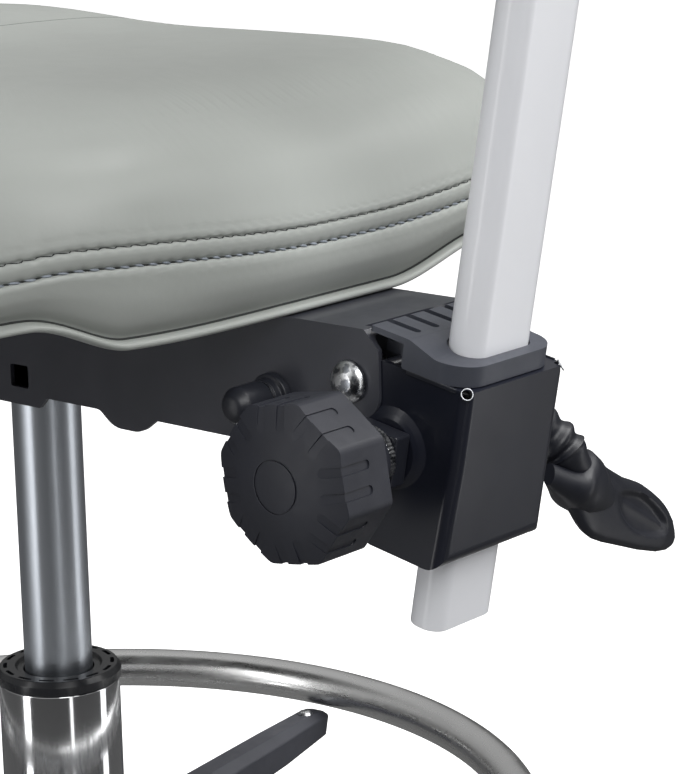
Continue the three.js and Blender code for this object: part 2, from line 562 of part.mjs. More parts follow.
function clampKnob() {
  const { face, dome, depth, radius, turn, u, w } = KNOB;
  const back = face - depth;
  const outline = new THREE.Shape();
  const corners = 8;
  for (let k = 0; k <= corners; k += 1) {
    const angle = THREE.MathUtils.degToRad(turn + (360 / corners) * k);
    for (const side of [-1, 0, 1]) {
      const a = angle + side * 0.13;
      const r = side === 0 ? radius : radius * 0.985;
      const point = [u + r * Math.cos(a), w + r * Math.sin(a)];
      if (k === 0 && side === -1) outline.moveTo(...point);
      else if (k < corners || side === -1) outline.lineTo(...point);
    }
  }
  const body = raisedX(outline, back, face + dome, 1);
  const cover = turnedX([[0, back - 1], [radius - 3, back - 1], [radius, back + 3], [radius, face - 1.5],
    [radius - 1.5, face], [9, face + dome - 0.4], [0, face + dome]], 32, u, w);
  const neck = turnedX([[0, 43.2], [12, 43.2], [12.5, back + 2], [0, back + 2]], 20, u, w);
  const bore = cylinderX(4 + GAP, 0, face - 8 + GAP, 12, u, w);
  return cut(join(body.intersect(cover), neck), bore);
}

carrier.add(meshOf('backrest_bracket', BLACK_PAINT, backrestBracket()));
carrier.add(meshOf('collar_sleeve', DARK_PLASTIC, collarSleeve()));
carrier.add(meshOf('clamp_screw', ZINC, clampScrew()));
carrier.add(meshOf('clamp_knob', BLACK_PLASTIC, clampKnob()));
carrier.add(meshOf('clamp_washer', ZINC, turnedX([[4.4, 39.4], [11, 39.4], [11, 42.8], [4.4, 42.8]],
  24, KNOB.u, KNOB.w)));

function clampNut() {
  const half = 9.6;
  const block = box([31.4, KNOB.u - half, KNOB.w - half], [39, KNOB.u + half, KNOB.w + half]);
  return block.subtract(cylinderX(4.4, 0, 60, 12, KNOB.u, KNOB.w));
}
carrier.add(meshOf('clamp_nut', BLACK_PAINT, clampNut()));

// ---------------------------------------------------------------- bar and backrest

// The bar is a flat oval tube, closed at the bottom end by a plug.
function backrestBar() {
  const { width, depth, wall, bottom, top } = BAR;
  const outer = raised(roundedRectangle(width, depth, 6.6), bottom, top, 5);
  const inner = raised(roundedRectangle(width - 2 * wall, depth - 2 * wall, 5), bottom - 5, top + 5, 3);
  return outer.subtract(inner);
}

function barPlug(low, high) {
  const { width, depth, wall } = BAR;
  return raised(roundedRectangle(width - 2 * wall - 2 * GAP, depth - 2 * wall - 2 * GAP, 4.7), low, high, 3);
}

carrier.add(meshOf('backrest_bar', WHITE_PAINT, backrestBar()));
carrier.add(meshOf('bar_end_plug', WHITE_PAINT, barPlug(BAR.bottom, BAR.bottom + 14)));

// The hinge bracket clasps the bar's front and carries the backrest on a pin along X.
const HINGE = { u: -BAR.depth / 2 - 16, w: BACKREST.pivot, half: 26 };
function hingeBracket() {
  const front = -BAR.depth / 2 - GAP;
  const plate = box([-22, front - 4, HINGE.w - 34], [22, front, HINGE.w + 14]);
  const ears = [-1, 1].map((side) => {
    const ear = new THREE.Shape();
    ear.moveTo(front - 1, HINGE.w + 12);
    ear.lineTo(front - 1, HINGE.w - 14);
    ear.lineTo(HINGE.u, HINGE.w - 7);
    ear.absarc(HINGE.u, HINGE.w, 7, -Math.PI / 2, -Math.PI * 1.5, true);
    return raisedX(ear, side * 16 - 2, side * 16 + 2, 5);
  });
  return cut(join(plate, ...ears), cylinderX(3 + GAP, -60, 60, 12, HINGE.u, HINGE.w));
}

// The backrest's shell is curved in plan; its two lugs sit outside the bracket's ears.
function backrestArc(radius, thickness, width, height, segments) {
  const half = Math.asin(width / 2 / radius);
  const shape = new THREE.Shape();
  shape.absarc(0, 0, radius, Math.PI / 2 - half, Math.PI / 2 + half);
  shape.absarc(0, 0, radius - thickness, Math.PI / 2 + half, Math.PI / 2 - half, true);
  const settings = { depth: height, bevelEnabled: false, curveSegments: segments };
  return place(new THREE.ExtrudeGeometry(shape, settings), 0, -radius, -height / 2);
}

function backrestFace(width, height, radius) {
  return place(new THREE.ExtrudeGeometry(roundedRectangle(width, height, radius),
    { depth: 300, bevelEnabled: false, curveSegments: 6 }).rotateX(Math.PI / 2), 0, 150);
}

const SHELL_BACK = HINGE.u - 9;
const CURVE = 420;
function backrestShell() {
  const { width, height, centre } = BACKREST;
  const sheet = backrestArc(CURVE, 6, width - 16, height, 9)
    .intersect(backrestFace(width - 16, height - 16, 60));
  const moved = sheet.translate([0, SHELL_BACK, centre]);
  const lugs = [-1, 1].map((side) => {
    const lug = new THREE.Shape();
    lug.moveTo(SHELL_BACK - 3, HINGE.w + 13);
    lug.lineTo(SHELL_BACK - 3, HINGE.w - 13);
    lug.lineTo(HINGE.u, HINGE.w - 7);
    lug.absarc(HINGE.u, HINGE.w, 7, -Math.PI / 2, Math.PI / 2);
    return raisedX(lug, side * 21.4 - 2.4, side * 21.4 + 2.4, 5);
  });
  return cut(join(moved, ...lugs), cylinderX(3 + GAP, -60, 60, 12, HINGE.u, HINGE.w));
}

function backrestPad() {
  const { width, height, depth, centre } = BACKREST;
  const body = backrestArc(CURVE - 6 - GAP, depth - 6, width, height, 9)
    .intersect(backrestFace(width, height, 62));
  return body.translate([0, SHELL_BACK - 6 - GAP, centre]);
}

carrier.add(meshOf('hinge_bracket', BLACK_PAINT, hingeBracket()));
carrier.add(meshOf('hinge_pin', ZINC, cylinderX(3, -25, 25, 12, HINGE.u, HINGE.w)));
carrier.add(meshOf('backrest_shell', BLACK_PLASTIC, backrestShell()));
carrier.add(meshOf('backrest_pad', LEATHER, backrestPad()));

export default stool;
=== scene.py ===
import json
import math

import bmesh
import bpy
import numpy as np
from mathutils import Matrix, Vector, kdtree
from mathutils.bvhtree import BVHTree


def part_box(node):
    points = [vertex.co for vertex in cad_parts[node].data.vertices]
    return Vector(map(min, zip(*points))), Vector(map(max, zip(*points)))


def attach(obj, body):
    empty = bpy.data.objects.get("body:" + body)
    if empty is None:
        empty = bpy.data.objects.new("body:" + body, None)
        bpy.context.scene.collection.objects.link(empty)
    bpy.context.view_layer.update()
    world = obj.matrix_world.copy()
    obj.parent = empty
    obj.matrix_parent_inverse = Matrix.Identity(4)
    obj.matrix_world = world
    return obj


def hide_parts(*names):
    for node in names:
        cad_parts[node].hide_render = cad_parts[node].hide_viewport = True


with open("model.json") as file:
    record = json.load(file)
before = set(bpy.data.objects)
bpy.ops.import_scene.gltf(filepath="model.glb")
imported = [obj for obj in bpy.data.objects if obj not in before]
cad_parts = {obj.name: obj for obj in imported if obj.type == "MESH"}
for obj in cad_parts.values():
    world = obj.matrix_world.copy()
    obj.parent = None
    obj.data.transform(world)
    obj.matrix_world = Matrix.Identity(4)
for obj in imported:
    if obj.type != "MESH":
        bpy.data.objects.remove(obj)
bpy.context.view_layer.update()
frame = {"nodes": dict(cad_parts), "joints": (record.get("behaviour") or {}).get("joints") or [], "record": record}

# ------------------------------------------------------------------ names, places and sizes
# Lengths are in millimetres, in the frame's axes: +Z up, +Y to the rear, +X to the clamp knob.

MM = 0.001
TURN = 2 * math.pi
BODY_OF = {node: body for body, nodes in frame["record"]["behaviour"]["bodies"].items() for node in nodes}
SLOT_OF = {row["node"]: row["material_slot"] for row in frame["record"]["subparts"]}
JOINTS = {joint["name"]: joint for joint in frame["joints"]}
RNG = np.random.default_rng(21)


def low(node):
    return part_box(node)[0] / MM


def high(node):
    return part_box(node)[1] / MM


def joint_place(name):
    return Vector(JOINTS[name]["pos_m"]) / MM


def at(x, y, z):
    return Matrix.Translation((x, y, z))


def spun(degrees, axis="Z"):
    return Matrix.Rotation(math.radians(degrees), 4, axis)


RIM = high("column_tube").z
LEAN = math.atan2(*JOINTS["backrest_height"]["axis"][1:])
PIVOT = joint_place("backrest_recline")
SHAFT = joint_place("tilt_lever_lift")
CLAMP = joint_place("bar_clamp_turn")
CLAMP_LOCAL = (-14.1, -36.3)  # the clamp axis in the carrier's own axes u and w

# Frames: each maps a piece's own axes to the object's.
WORLD = Matrix.Identity(4)
ALONG_X = Matrix(((0, 0, 1, 0), (1, 0, 0, 0), (0, 1, 0, 0), (0, 0, 0, 1)))
AT_PIVOT = at(0, PIVOT.y, PIVOT.z) @ ALONG_X
AT_SHAFT = at(0, SHAFT.y, SHAFT.z) @ ALONG_X
_carrier_turn = Matrix.Rotation(-LEAN, 4, "X")
_clamp_offset = _carrier_turn @ Vector((0, *CLAMP_LOCAL))
CARRIER = Matrix.Translation(Vector((0, CLAMP.y, CLAMP.z)) - _clamp_offset) @ _carrier_turn
CARRIER_X = CARRIER @ ALONG_X  # local x, y, z are u, w and X
AT_CLAMP = CARRIER_X @ at(*CLAMP_LOCAL, 0)
PIVOT_LOCAL = CARRIER.inverted() @ Vector((0, PIVOT.y, PIVOT.z))


# ------------------------------------------------------------------ outlines

def fillet(points, radius, steps=5):
    """Rounds a closed outline's corners; a point may carry its own radius as a third number."""
    result = []
    for i, point in enumerate(points):
        r = point[2] if len(point) > 2 else radius
        corner = Vector(point[:2])
        to_a = Vector(points[i - 1][:2]) - corner
        to_b = Vector(points[(i + 1) % len(points)][:2]) - corner
        reach = min(to_a.length, to_b.length) * 0.49
        if r > 0:
            to_a.normalize()
            to_b.normalize()
            angle = to_a.angle(to_b)
        if r <= 0 or angle > math.pi - 0.02:
            result.append(tuple(corner))
            continue
        tangent = min(r / math.tan(angle / 2), reach)
        r = tangent * math.tan(angle / 2)
        centre = corner + (to_a + to_b).normalized() * (r / math.sin(angle / 2))
        first = corner + to_a * tangent - centre
        last = corner + to_b * tangent - centre
        start = math.atan2(first.y, first.x)
        sweep = (math.atan2(last.y, last.x) - start + math.pi) % TURN - math.pi
        result += arc(r, [start + sweep * k / steps for k in range(steps + 1)], *centre)
    return result


def arc(radius, angles, x=0, y=0):
    return [(x + radius * math.cos(a), y + radius * math.sin(a)) for a in angles]


def circle(radius, count=20):
    return arc(radius, [TURN * k / count for k in range(count)])


def rounded_rectangle(width, height, radius, centre=(0, 0), steps=8):
    x, y = centre
    a, b = width / 2, height / 2
    return fillet([(x - a, y - b), (x + a, y - b), (x + a, y + b), (x - a, y + b)], radius, steps)


def curve_through(points, count):
    """Points along a Catmull-Rom curve through the given points, evenly stepped per span."""
    knots = [np.array(p, float) for p in points]
    knots = [2 * knots[0] - knots[1]] + knots + [2 * knots[-1] - knots[-2]]
    spans = len(knots) - 3
    result = []
    for t in np.linspace(0, spans, count):
        i = min(int(t), spans - 1)
        a, b, c, d = knots[i:i + 4]
        s = t - i
        result.append(0.5 * (2 * b + (c - a) * s + (2 * a - 5 * b + 4 * c - d) * s ** 2
                             + (3 * b - a - 3 * c + d) * s ** 3))
    return result


def smoothstep(x, a, b):
    t = np.clip((x - a) / (b - a), 0, 1)
    return t * t * (3 - 2 * t)


# ------------------------------------------------------------------ mesh helpers

def new_piece(name, points, faces, matrix=WORLD):
    """A mesh object from points in millimetres, carried into place by the matrix."""
    mesh = bpy.data.meshes.new(name)
    mesh.from_pydata([tuple((matrix @ Vector(p)) * MM) for p in points], [], faces)
    mesh.validate()
    mesh.update()
    piece = bpy.data.objects.new(name, mesh)
    bpy.context.scene.collection.objects.link(piece)
    return piece


def outward(piece):
    """Makes the faces of a closed piece point out."""
    work = bmesh.new()
    work.from_mesh(piece.data)
    bmesh.ops.recalc_face_normals(work, faces=work.faces)
    work.to_mesh(piece.data)
    work.free()
    return piece


def grid_faces(rows, count, loop=False):
    """Quads between neighbouring rows of points that close on themselves; a loop joins the last
    row to the first."""
    return [[i * count + k, i * count + (k + 1) % count, (i + 1) % rows * count + (k + 1) % count,
             (i + 1) % rows * count + k] for i in range(rows if loop else rows - 1) for k in range(count)]


def tube_faces(rows, count):
    """The quads of a tube with a cap on each end."""
    return [list(range(count))[::-1], list(range((rows - 1) * count, rows * count))] + grid_faces(rows, count)


def skin(name, rings, matrix=WORLD, loop=False):
    """A closed piece through rings of points, with capped ends or joined in a loop."""
    rows, count = len(rings), len(rings[0])
    faces = grid_faces(rows, count, True) if loop else tube_faces(rows, count)
    return outward(new_piece(name, [p for ring in rings for p in ring], faces, matrix))


def turned(name, profile, matrix=WORLD, sides=64, rounding=0.0):
    """A solid of revolution about the local Z axis; the profile's points are (radius, height)."""
    if rounding or any(len(point) > 2 for point in profile):
        profile = fillet(profile, rounding, 4)
    points, rings = [], []
    for r, z in profile:
        ring = [(x, y, z) for x, y in circle(r, sides)] if r > 1e-6 else [(0, 0, z)]
        rings.append([len(points) + k % len(ring) for k in range(sides)])
        points += ring
    faces = []
    for a, b in zip(rings, rings[1:] + rings[:1]):
        for k in range(sides):
            n = (k + 1) % sides
            face = list(dict.fromkeys((a[k], a[n], b[n], b[k])))
            if len(face) > 2:
                faces.append(face)
    return outward(new_piece(name, points, faces, matrix))


def rod(radius, bottom, top, matrix, sides=32):
    """A plain round bar along the local Z axis, mostly to drill a hole with."""
    return turned("rod", [(0, bottom), (radius, bottom), (radius, top), (0, top)], matrix, sides)


def prism(name, outline, bottom, top, matrix=WORLD):
    """An outline in the local XY plane raised from bottom to top."""
    return skin(name, [[(x, y, z) for x, y in outline] for z in (bottom, top)], matrix)


def block(name, corner_a, corner_b, matrix=WORLD):
    (x0, y0, z0), (x1, y1, z1) = corner_a, corner_b
    return prism(name, [(x0, y0), (x1, y0), (x1, y1), (x0, y1)], z0, z1, matrix)


def swept(name, path, section, matrix=WORLD, up=Vector((0, 0, 1))):
    """A closed tube through path points; section(t) gives the outline at 0 <= t <= 1."""
    path = [Vector(p) for p in path]
    rings = []
    for i, p in enumerate(path):
        along = (path[min(i + 1, len(path) - 1)] - path[max(i - 1, 0)]).normalized()
        side = along.cross(up).normalized()
        over = side.cross(along).normalized()
        rings.append([p + side * x + over * y for x, y in section(i / (len(path) - 1))])
    return skin(name, rings, matrix)


def join_loose(name, pieces):
    """Several closed shells in one mesh, without a boolean."""
    points, faces = [], []
    for piece in pieces:
        start = len(points)
        points += [tuple(v.co / MM) for v in piece.data.vertices]
        faces += [[start + i for i in p.vertices] for p in piece.data.polygons]
        bpy.data.objects.remove(piece)
    return new_piece(name, points, faces)


def modify(piece, kind, **settings):
    """Adds a modifier with the given settings."""
    step = piece.modifiers.new(kind.lower(), kind)
    for key, value in settings.items():
        setattr(step, key, value)
    return step


def baked(piece):
    """Replaces a piece's mesh by the result of its modifiers."""
    graph = bpy.context.evaluated_depsgraph_get()
    mesh = bpy.data.meshes.new_from_object(piece.evaluated_get(graph))
    piece.modifiers.clear()
    old = piece.data
    piece.data = mesh
    bpy.data.meshes.remove(old)
    return piece


def combine(piece, others, operation, solver="EXACT"):
    for other in others:
        modify(piece, "BOOLEAN", operation=operation, solver=solver, object=other)
    baked(piece)
    for other in others:
        bpy.data.objects.remove(other)
    return piece


def cut(piece, *others):
    return combine(piece, others, "DIFFERENCE")


def join(piece, *others):
    return combine(piece, others, "UNION")


def smooth(piece, angle=40):
    mesh = piece.data
    mesh.polygons.foreach_set("use_smooth", np.ones(len(mesh.polygons), bool))
    if angle:
        mesh.set_sharp_from_angle(angle=math.radians(angle))
    return piece


def edged(piece, width=0.5, segments=2, angle=30):
    """Rounds the sharp edges and shades the rest smooth."""
    modify(piece, "WELD", merge_threshold=0.00002)
    modify(piece, "BEVEL", width=width * MM, segments=segments, limit_method="ANGLE",
           angle_limit=math.radians(angle), use_clamp_overlap=True)
    smooth(baked(piece), angle)
    modify(piece, "WEIGHTED_NORMAL", keep_sharp=True)
    return baked(piece)


def belongs_to(piece, material, node):
    """A detail that rides with a CAD node without replacing it."""
    piece.data.materials.clear()
    piece.data.materials.append(material)
    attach(piece, BODY_OF[node])
    return piece


def stands_for(piece, material, *nodes):
    """The piece takes the place and the body of the CAD nodes it is drawn for."""
    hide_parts(*nodes)
    return belongs_to(piece, material, nodes[0])


# ------------------------------------------------------------------ materials

def tint(colour, factor):
    return tuple(c * factor for c in colour)


def set_stops(ramp, stops):
    while len(ramp.elements) < len(stops):
        ramp.elements.new(0.5)
    for element, (position, colour) in zip(ramp.elements, stops):
        element.position = position
        element.color = (*colour, 1)


class Shader:
    """A small builder for a Principled material with procedural detail in object space."""

    def __init__(self, name, colour, roughness, metallic=0.0, **sockets):
        self.material = bpy.data.materials.new(name)
        self.material.use_nodes = True
        self.tree = self.material.node_tree
        self.bsdf = self.tree.nodes["Principled BSDF"]
        sockets |= {"Base Color": (*colour, 1), "Roughness": roughness, "Metallic": metallic}
        for socket, value in sockets.items():
            self.bsdf.inputs[socket].default_value = value
        self.place = self.node("ShaderNodeTexCoord").outputs["Object"]
        self.relief = {}

    def node(self, kind, **inputs):
        """A node whose inputs are set to values, or linked where the value is another node's output."""
        made = self.tree.nodes.new(kind)
        for name, value in inputs.items():
            if isinstance(value, bpy.types.NodeSocket):
                self.tree.links.new(value, made.inputs[name])
            else:
                made.inputs[name].default_value = value
        return made

    def drive(self, output, socket):
        self.tree.links.new(output, self.bsdf.inputs[socket])

    def noise(self, scale, detail=4, stretch=None, roughness=0.5):
        place = self.place
        if stretch:
            place = self.node("ShaderNodeMapping", Vector=place, Scale=stretch).outputs["Vector"]
        made = self.node("ShaderNodeTexNoise", Vector=place, Scale=scale, Detail=detail, Roughness=roughness)
        return made.outputs["Fac"]

    def cells(self, scale, feature="F1"):
        made = self.node("ShaderNodeTexVoronoi", Vector=self.place, Scale=scale)
        made.feature = feature
        return made.outputs["Distance"]

    def colour(self, value, stops):
        made = self.node("ShaderNodeValToRGB", Fac=value)
        set_stops(made.color_ramp, stops)
        self.drive(made.outputs["Color"], "Base Color")

    def vary(self, value, colour, less, more):
        self.colour(value, [(0.3, tint(colour, less)), (0.7, tint(colour, more))])

    def rough(self, value, least, most):
        made = self.node("ShaderNodeMapRange", Value=value, **{"From Min": 0.3, "From Max": 0.7,
                                                               "To Min": least, "To Max": most})
        self.drive(made.outputs["Result"], "Roughness")

    def bump(self, value, strength, distance):
        """Each call adds one layer of relief; distance is in millimetres."""
        made = self.node("ShaderNodeBump", Height=value, Strength=strength, Distance=distance * MM,
                         **self.relief)
        self.relief = {"Normal": made.outputs["Normal"]}
        self.drive(made.outputs["Normal"], "Normal")


def leather(name, colour):
    s = Shader(name, colour, 0.45,
               **{"Specular IOR Level": 0.42, "Sheen Weight": 0.06, "Sheen Roughness": 0.5})
    s.vary(s.noise(9, 3), colour, 0.96, 1.03)
    s.rough(s.noise(60, 3), 0.40, 0.50)
    s.bump(s.cells(900, "SMOOTH_F1"), 0.25, 0.05)
    s.bump(s.noise(300, 5), 0.2, 0.06)
    s.bump(s.noise(26, 2), 0.25, 0.35)
    return s.material


def paint(name, colour, roughness, peel=0.12, coat=0.0, vary=0.08, gloss=0.5):
    s = Shader(name, colour, roughness,
               **{"Coat Weight": coat, "Coat Roughness": 0.12, "Specular IOR Level": gloss})
    s.vary(s.noise(40, 4), colour, 1 - vary, 1 + vary)
    s.rough(s.noise(120, 3), roughness * (1 - vary), roughness * (1 + vary))
    s.bump(s.noise(420, 3), peel, 0.05)
    return s.material


def plastic(name, colour, roughness, grain=0.3, scale=2200):
    s = Shader(name, colour, roughness, **{"Specular IOR Level": 0.45})
    s.vary(s.noise(55, 4), colour, 0.9, 1.1)
    s.rough(s.noise(200, 3), roughness * 0.9, roughness * 1.1)
    s.bump(s.noise(scale, 3), grain, 0.03)
    return s.material


def metal(name, colour, roughness, stretch=(1, 1, 1), lines=0.15, scale=60, vary=0.05):
    s = Shader(name, colour, roughness, 1.0)
    brushed = s.noise(scale, 5, stretch, 0.6)
    s.vary(s.noise(22, 4), colour, 1 - vary, 1 + vary * 0.5)
    s.rough(brushed, roughness * 0.75, roughness * 1.3)
    s.bump(brushed, lines, 0.02)
    return s.material


def zinc(name, colour, stain):
    s = Shader(name, colour, 0.28, 1.0)
    s.colour(s.noise(330, 4), [(0.44, stain), (0.53, colour)])
    s.rough(s.noise(150, 4), 0.2, 0.42)
    s.bump(s.cells(420), 0.3, 0.08)
    return s.material


def wood(name, colour):
    s = Shader(name, colour, 0.6)
    grain = s.noise(14, 6, (1, 9, 40), 0.6)
    s.vary(grain, colour, 0.7, 1.15)
    s.bump(grain, 0.3, 0.2)
    return s.material


LEATHER = leather("leather", (0.37, 0.388, 0.366))
BLACK_PAINT = paint("black_powder_coat", (0.018, 0.0195, 0.027), 0.30, 0.10, 0.25)
# A lighter copy of the black powder coat for the channel: painted light.
CHANNEL_PAINT_LIGHTENED = paint("channel_coat_painted_lighter", (0.046, 0.048, 0.060), 0.36, 0.12, 0.25)
# A darker, less glossy copy of the black powder coat for the bracket: painted shade.
BRACKET_PAINT_DARKENED = paint("bracket_coat_painted_darker", (0.0105, 0.012, 0.020), 0.32, 0.10, 0.15, 0.08, 0.32)
WHITE_PAINT = paint("white_powder_coat", (0.86, 0.87, 0.905), 0.30, 0.03, 0.2, 0.01)
BLACK_PLASTIC = plastic("black_nylon", (0.017, 0.0185, 0.025), 0.42, 0.25)
GLOSS_BLACK = plastic("gloss_black_cap", (0.016, 0.017, 0.020), 0.22, 0.1)
DARK_PLASTIC = plastic("charcoal_plastic", (0.017, 0.0185, 0.027), 0.50, 0.5, 1800)
COLLAR_PLASTIC = plastic("collar_plastic", (0.062, 0.067, 0.084), 0.42, 0.25)
WHITE_PLASTIC = plastic("white_plastic", (0.66, 0.675, 0.71), 0.42, 0.2)
RUBBER = plastic("wheel_tread", (0.05, 0.052, 0.055), 0.62, 0.3)
CHROME = metal("chrome", (0.78, 0.785, 0.80), 0.10, (1, 1, 0.02), 0.03, 90, 0.015)
RING_STEEL = metal("ring_steel", (0.80, 0.80, 0.795), 0.27, (1, 1, 6), 0.08, 60, 0.03)
STEEL = metal("satin_steel", (0.66, 0.70, 0.755), 0.32, (1, 1, 0.01), 0.2, 130, 0.015)
ALUMINIUM = metal("polished_aluminium", (0.74, 0.745, 0.755), 0.16, (1, 1, 1), 0.08, 40)
ZINC = zinc("zinc", (0.72, 0.73, 0.74), (0.22, 0.23, 0.25))
WOOD = wood("plywood", (0.50, 0.36, 0.21))
BARE_EDGE = metal("bare_edge", (0.42, 0.43, 0.45), 0.3, (1, 1, 1), 0.1, 80)
THREAD = plastic("thread", (0.27, 0.30, 0.34), 0.6, 0.6, 3000)
# Dark cord colour for the seams and the rim crease: painted shade.
SEAM_SHADE_CORD = plastic("seam_painted_shade", (0.035, 0.038, 0.037), 0.8, 0.5, 2500)
# Grey cord colour for the seam across the top: painted shade.
SEAM_SOFT_SHADE = plastic("seam_soft_painted_shade", (0.15, 0.16, 0.15), 0.7, 0.5, 2500)
# A darker copy of the black nylon for the tilt lever: painted shade.
LEVER_PLASTIC_DARKENED = plastic("lever_nylon_painted_darker", (0.0085, 0.0095, 0.0145), 0.40, 0.25)
SPOKE_PLASTIC = plastic("spoke_nylon", (0.050, 0.052, 0.064), 0.45, 0.25)
# Black for the seat's underside cloth; the same dark colour is painted shade behind the channel's square hole.
BLACK_CLOTH_AND_SHADE = plastic("cloth_and_painted_shade", (0.012, 0.012, 0.013), 0.9, 0.8, 1500)

SLOT_MATERIALS = {
    "chrome": CHROME, "polished_aluminium": ALUMINIUM, "steel": STEEL, "zinc": ZINC,
    "black_paint": BLACK_PAINT, "white_paint": WHITE_PAINT, "black_plastic": BLACK_PLASTIC,
    "dark_plastic": DARK_PLASTIC, "white_plastic": WHITE_PLASTIC, "wheel_rubber": RUBBER,
    "leather": LEATHER, "wood": WOOD,
}
for node_name, node_object in frame["nodes"].items():
    node_object.data.materials.clear()
    node_object.data.materials.append(SLOT_MATERIALS[SLOT_OF[node_name]])


# ------------------------------------------------------------------ column, gas spring, foot ring

def make_column():
    bottom, radius, bore = low("column_tube").z, 25, 22.6
    wall = [(bore, bottom), (radius, bottom), (radius, RIM, 0.8), (bore, RIM, 0.8)]
    tube = turned("column_tube_skin", wall, sides=128, rounding=0.3)
    stands_for(smooth(tube, 40), CHROME, "column_tube")
    hole, base, slots = 14.5, RIM + 0.3, 14
    profile = [(hole, base), (25.8, base), (25.8, RIM + 3.9), (24.2, RIM + 6.1), (18.0, RIM + 6.1),
               (17.0, RIM + 4.6), (hole, RIM + 4.6)]
    cap = turned("column_cap_skin", profile, sides=144, rounding=0.45)
    cutters = []
    for k in range(slots):
        angles = [TURN * (k + 0.3) / slots + step * 0.145 for step in (-1, -0.5, 0, 0.5, 1)]
        outline = arc(22.9, angles) + arc(21.3, angles[::-1])
        cutters.append(prism("slot", fillet(outline, 0.7, 3), RIM + 3.6, RIM + 9))
    stands_for(edged(cut(cap, *cutters), 0.25, 2), GLOSS_BLACK, "column_cap")
    foot, top = low("gas_cylinder").z, high("gas_cylinder").z
    cylinder = turned("gas_cylinder_skin", [
        (5.3, foot), (14, foot, 2), (14, RIM + 129), (12.8, top, 1), (3.3, top), (3.3, top - 14),
        (11.4, top - 18), (11.4, foot + 15), (5.3, foot + 15)], sides=128, rounding=0.2)
    stands_for(smooth(cylinder, 40), STEEL, "gas_cylinder")


def make_foot_ring():
    top, tube, around = high("foot_ring"), 9, 192
    rings = []
    for k in range(around):
        turn = spun(360 * k / around)
        rings.append([turn @ Vector((top.x - tube + x, 0, top.z - tube + z)) for x, z in circle(tube, 36)])
    stands_for(smooth(skin("foot_ring_tube", rings, loop=True), 0), RING_STEEL, "foot_ring")


def spoke_section(t):
    """A spoke's outline: flat underside, sloping flanks and a rounded ridge that fades outwards."""
    half = 11 - 4.5 * t
    ridge = 3.0 * (1 - t) + 1.2
    depth = 22 - 14 * t
    return fillet([(-half, -depth), (half, -depth), (half, -ridge), (half * 0.45, 0), (-half * 0.45, 0),
                   (-half, -ridge)], 1.4, 3)


def make_spider():
    bottom, top = low("ring_spider").z, high("ring_spider").z
    hub = turned("ring_spider_body", [(25.3, bottom), (36, bottom), (36, top - 3), (34, top), (25.3, top)],
                 sides=72, rounding=1.2)
    turns = [spun(187 + 72 * k) for k in range(5)]
    inner, outer = top - 2.4, top - 0.2
    path = [(30, 0, inner), (80, 0, inner + 1.2), (150, 0, outer), (184, 0, outer), (188, 0, outer - 1.2)]
    spider = join(hub, *(swept("spoke", path, spoke_section, turn) for turn in turns))
    stands_for(edged(spider, 0.7, 2, 38), SPOKE_PLASTIC, "ring_spider")
    screws = [turned("screw", [(0, -2), (3.6, -2), (3.6, 0.5), (2.6, 1.5), (0, 1.7)],
                     turn @ at(177.5, 0, top - 0.4), 24) for turn in turns]
    belongs_to(smooth(join_loose("spider_screws", screws), 40), ZINC, "ring_spider")


def make_ring_knob():
    axis, lobes = Vector(JOINTS["ring_knob_turn"]["axis"]), 7
    facing = Matrix.Rotation(math.atan2(axis.y, axis.x), 4, "Z")
    turn = at(0, 0, joint_place("ring_knob_turn").z) @ facing @ ALONG_X
    outline = []
    for k in range(144):
        a = TURN * k / 144
        outline += arc(18.6 - 1.6 * (0.5 + 0.5 * math.cos(lobes * a)) ** 3, [a])
    knob = edged(prism("ring_knob_grip", outline, 0, 16.5, turn @ at(0, 0, 52)), 1.8, 4, 35)
    neck = turned("neck", [(0, 25.6), (4, 25.6), (4, 45), (9, 45), (10, 53), (0, 53)], turn, 32, 0.3)
    stands_for(smooth(join(knob, neck), 40), BLACK_PLASTIC, "ring_clamp_knob")


# ------------------------------------------------------------------ base and castors

ARM_TURNS = [spun(-90 + 72 * k) for k in range(5)]
ARM_REACH = 243


def arm_section(t):
    half, tall = 19 - 6.5 * t, 17 - 8.5 * t
    return fillet([(-half, -tall), (half, -tall), (half * 0.72, tall), (-half * 0.72, tall)], 6.5 - 3 * t, 6)


def make_base():
    bottom, top = low("star_base").z, high("star_base").z
    hub = turned("star_base_casting", [
        (25.3, 80), (16, 78), (16, bottom + 5), (38, bottom + 5), (40, bottom + 16), (38, top - 6), (34, top),
        (25.3, top)], sides=96, rounding=2)
    path = curve_through([(26, 0, top - 20), (90, 0, top - 24), (170, 0, top - 37), (228, 0, 71),
                          (ARM_REACH, 0, 69)], 28)
    socket = [(0, bottom), (12.6, bottom), (14, bottom + 3), (14, 77), (11, 80), (0, 80)]
    arms = []
    for turn in ARM_TURNS:
        arms.append(swept("arm", path, arm_section, turn))
        arms.append(turned("socket", socket, turn @ at(ARM_REACH, 0, 0), 48, 1.0))
    base = join(hub, *arms)
    base = cut(base, *(rod(5.7, bottom - 2, 74.4, turn @ at(ARM_REACH, 0, 0)) for turn in ARM_TURNS))
    stands_for(edged(base, 0.8, 2, 40), ALUMINIUM, "star_base")


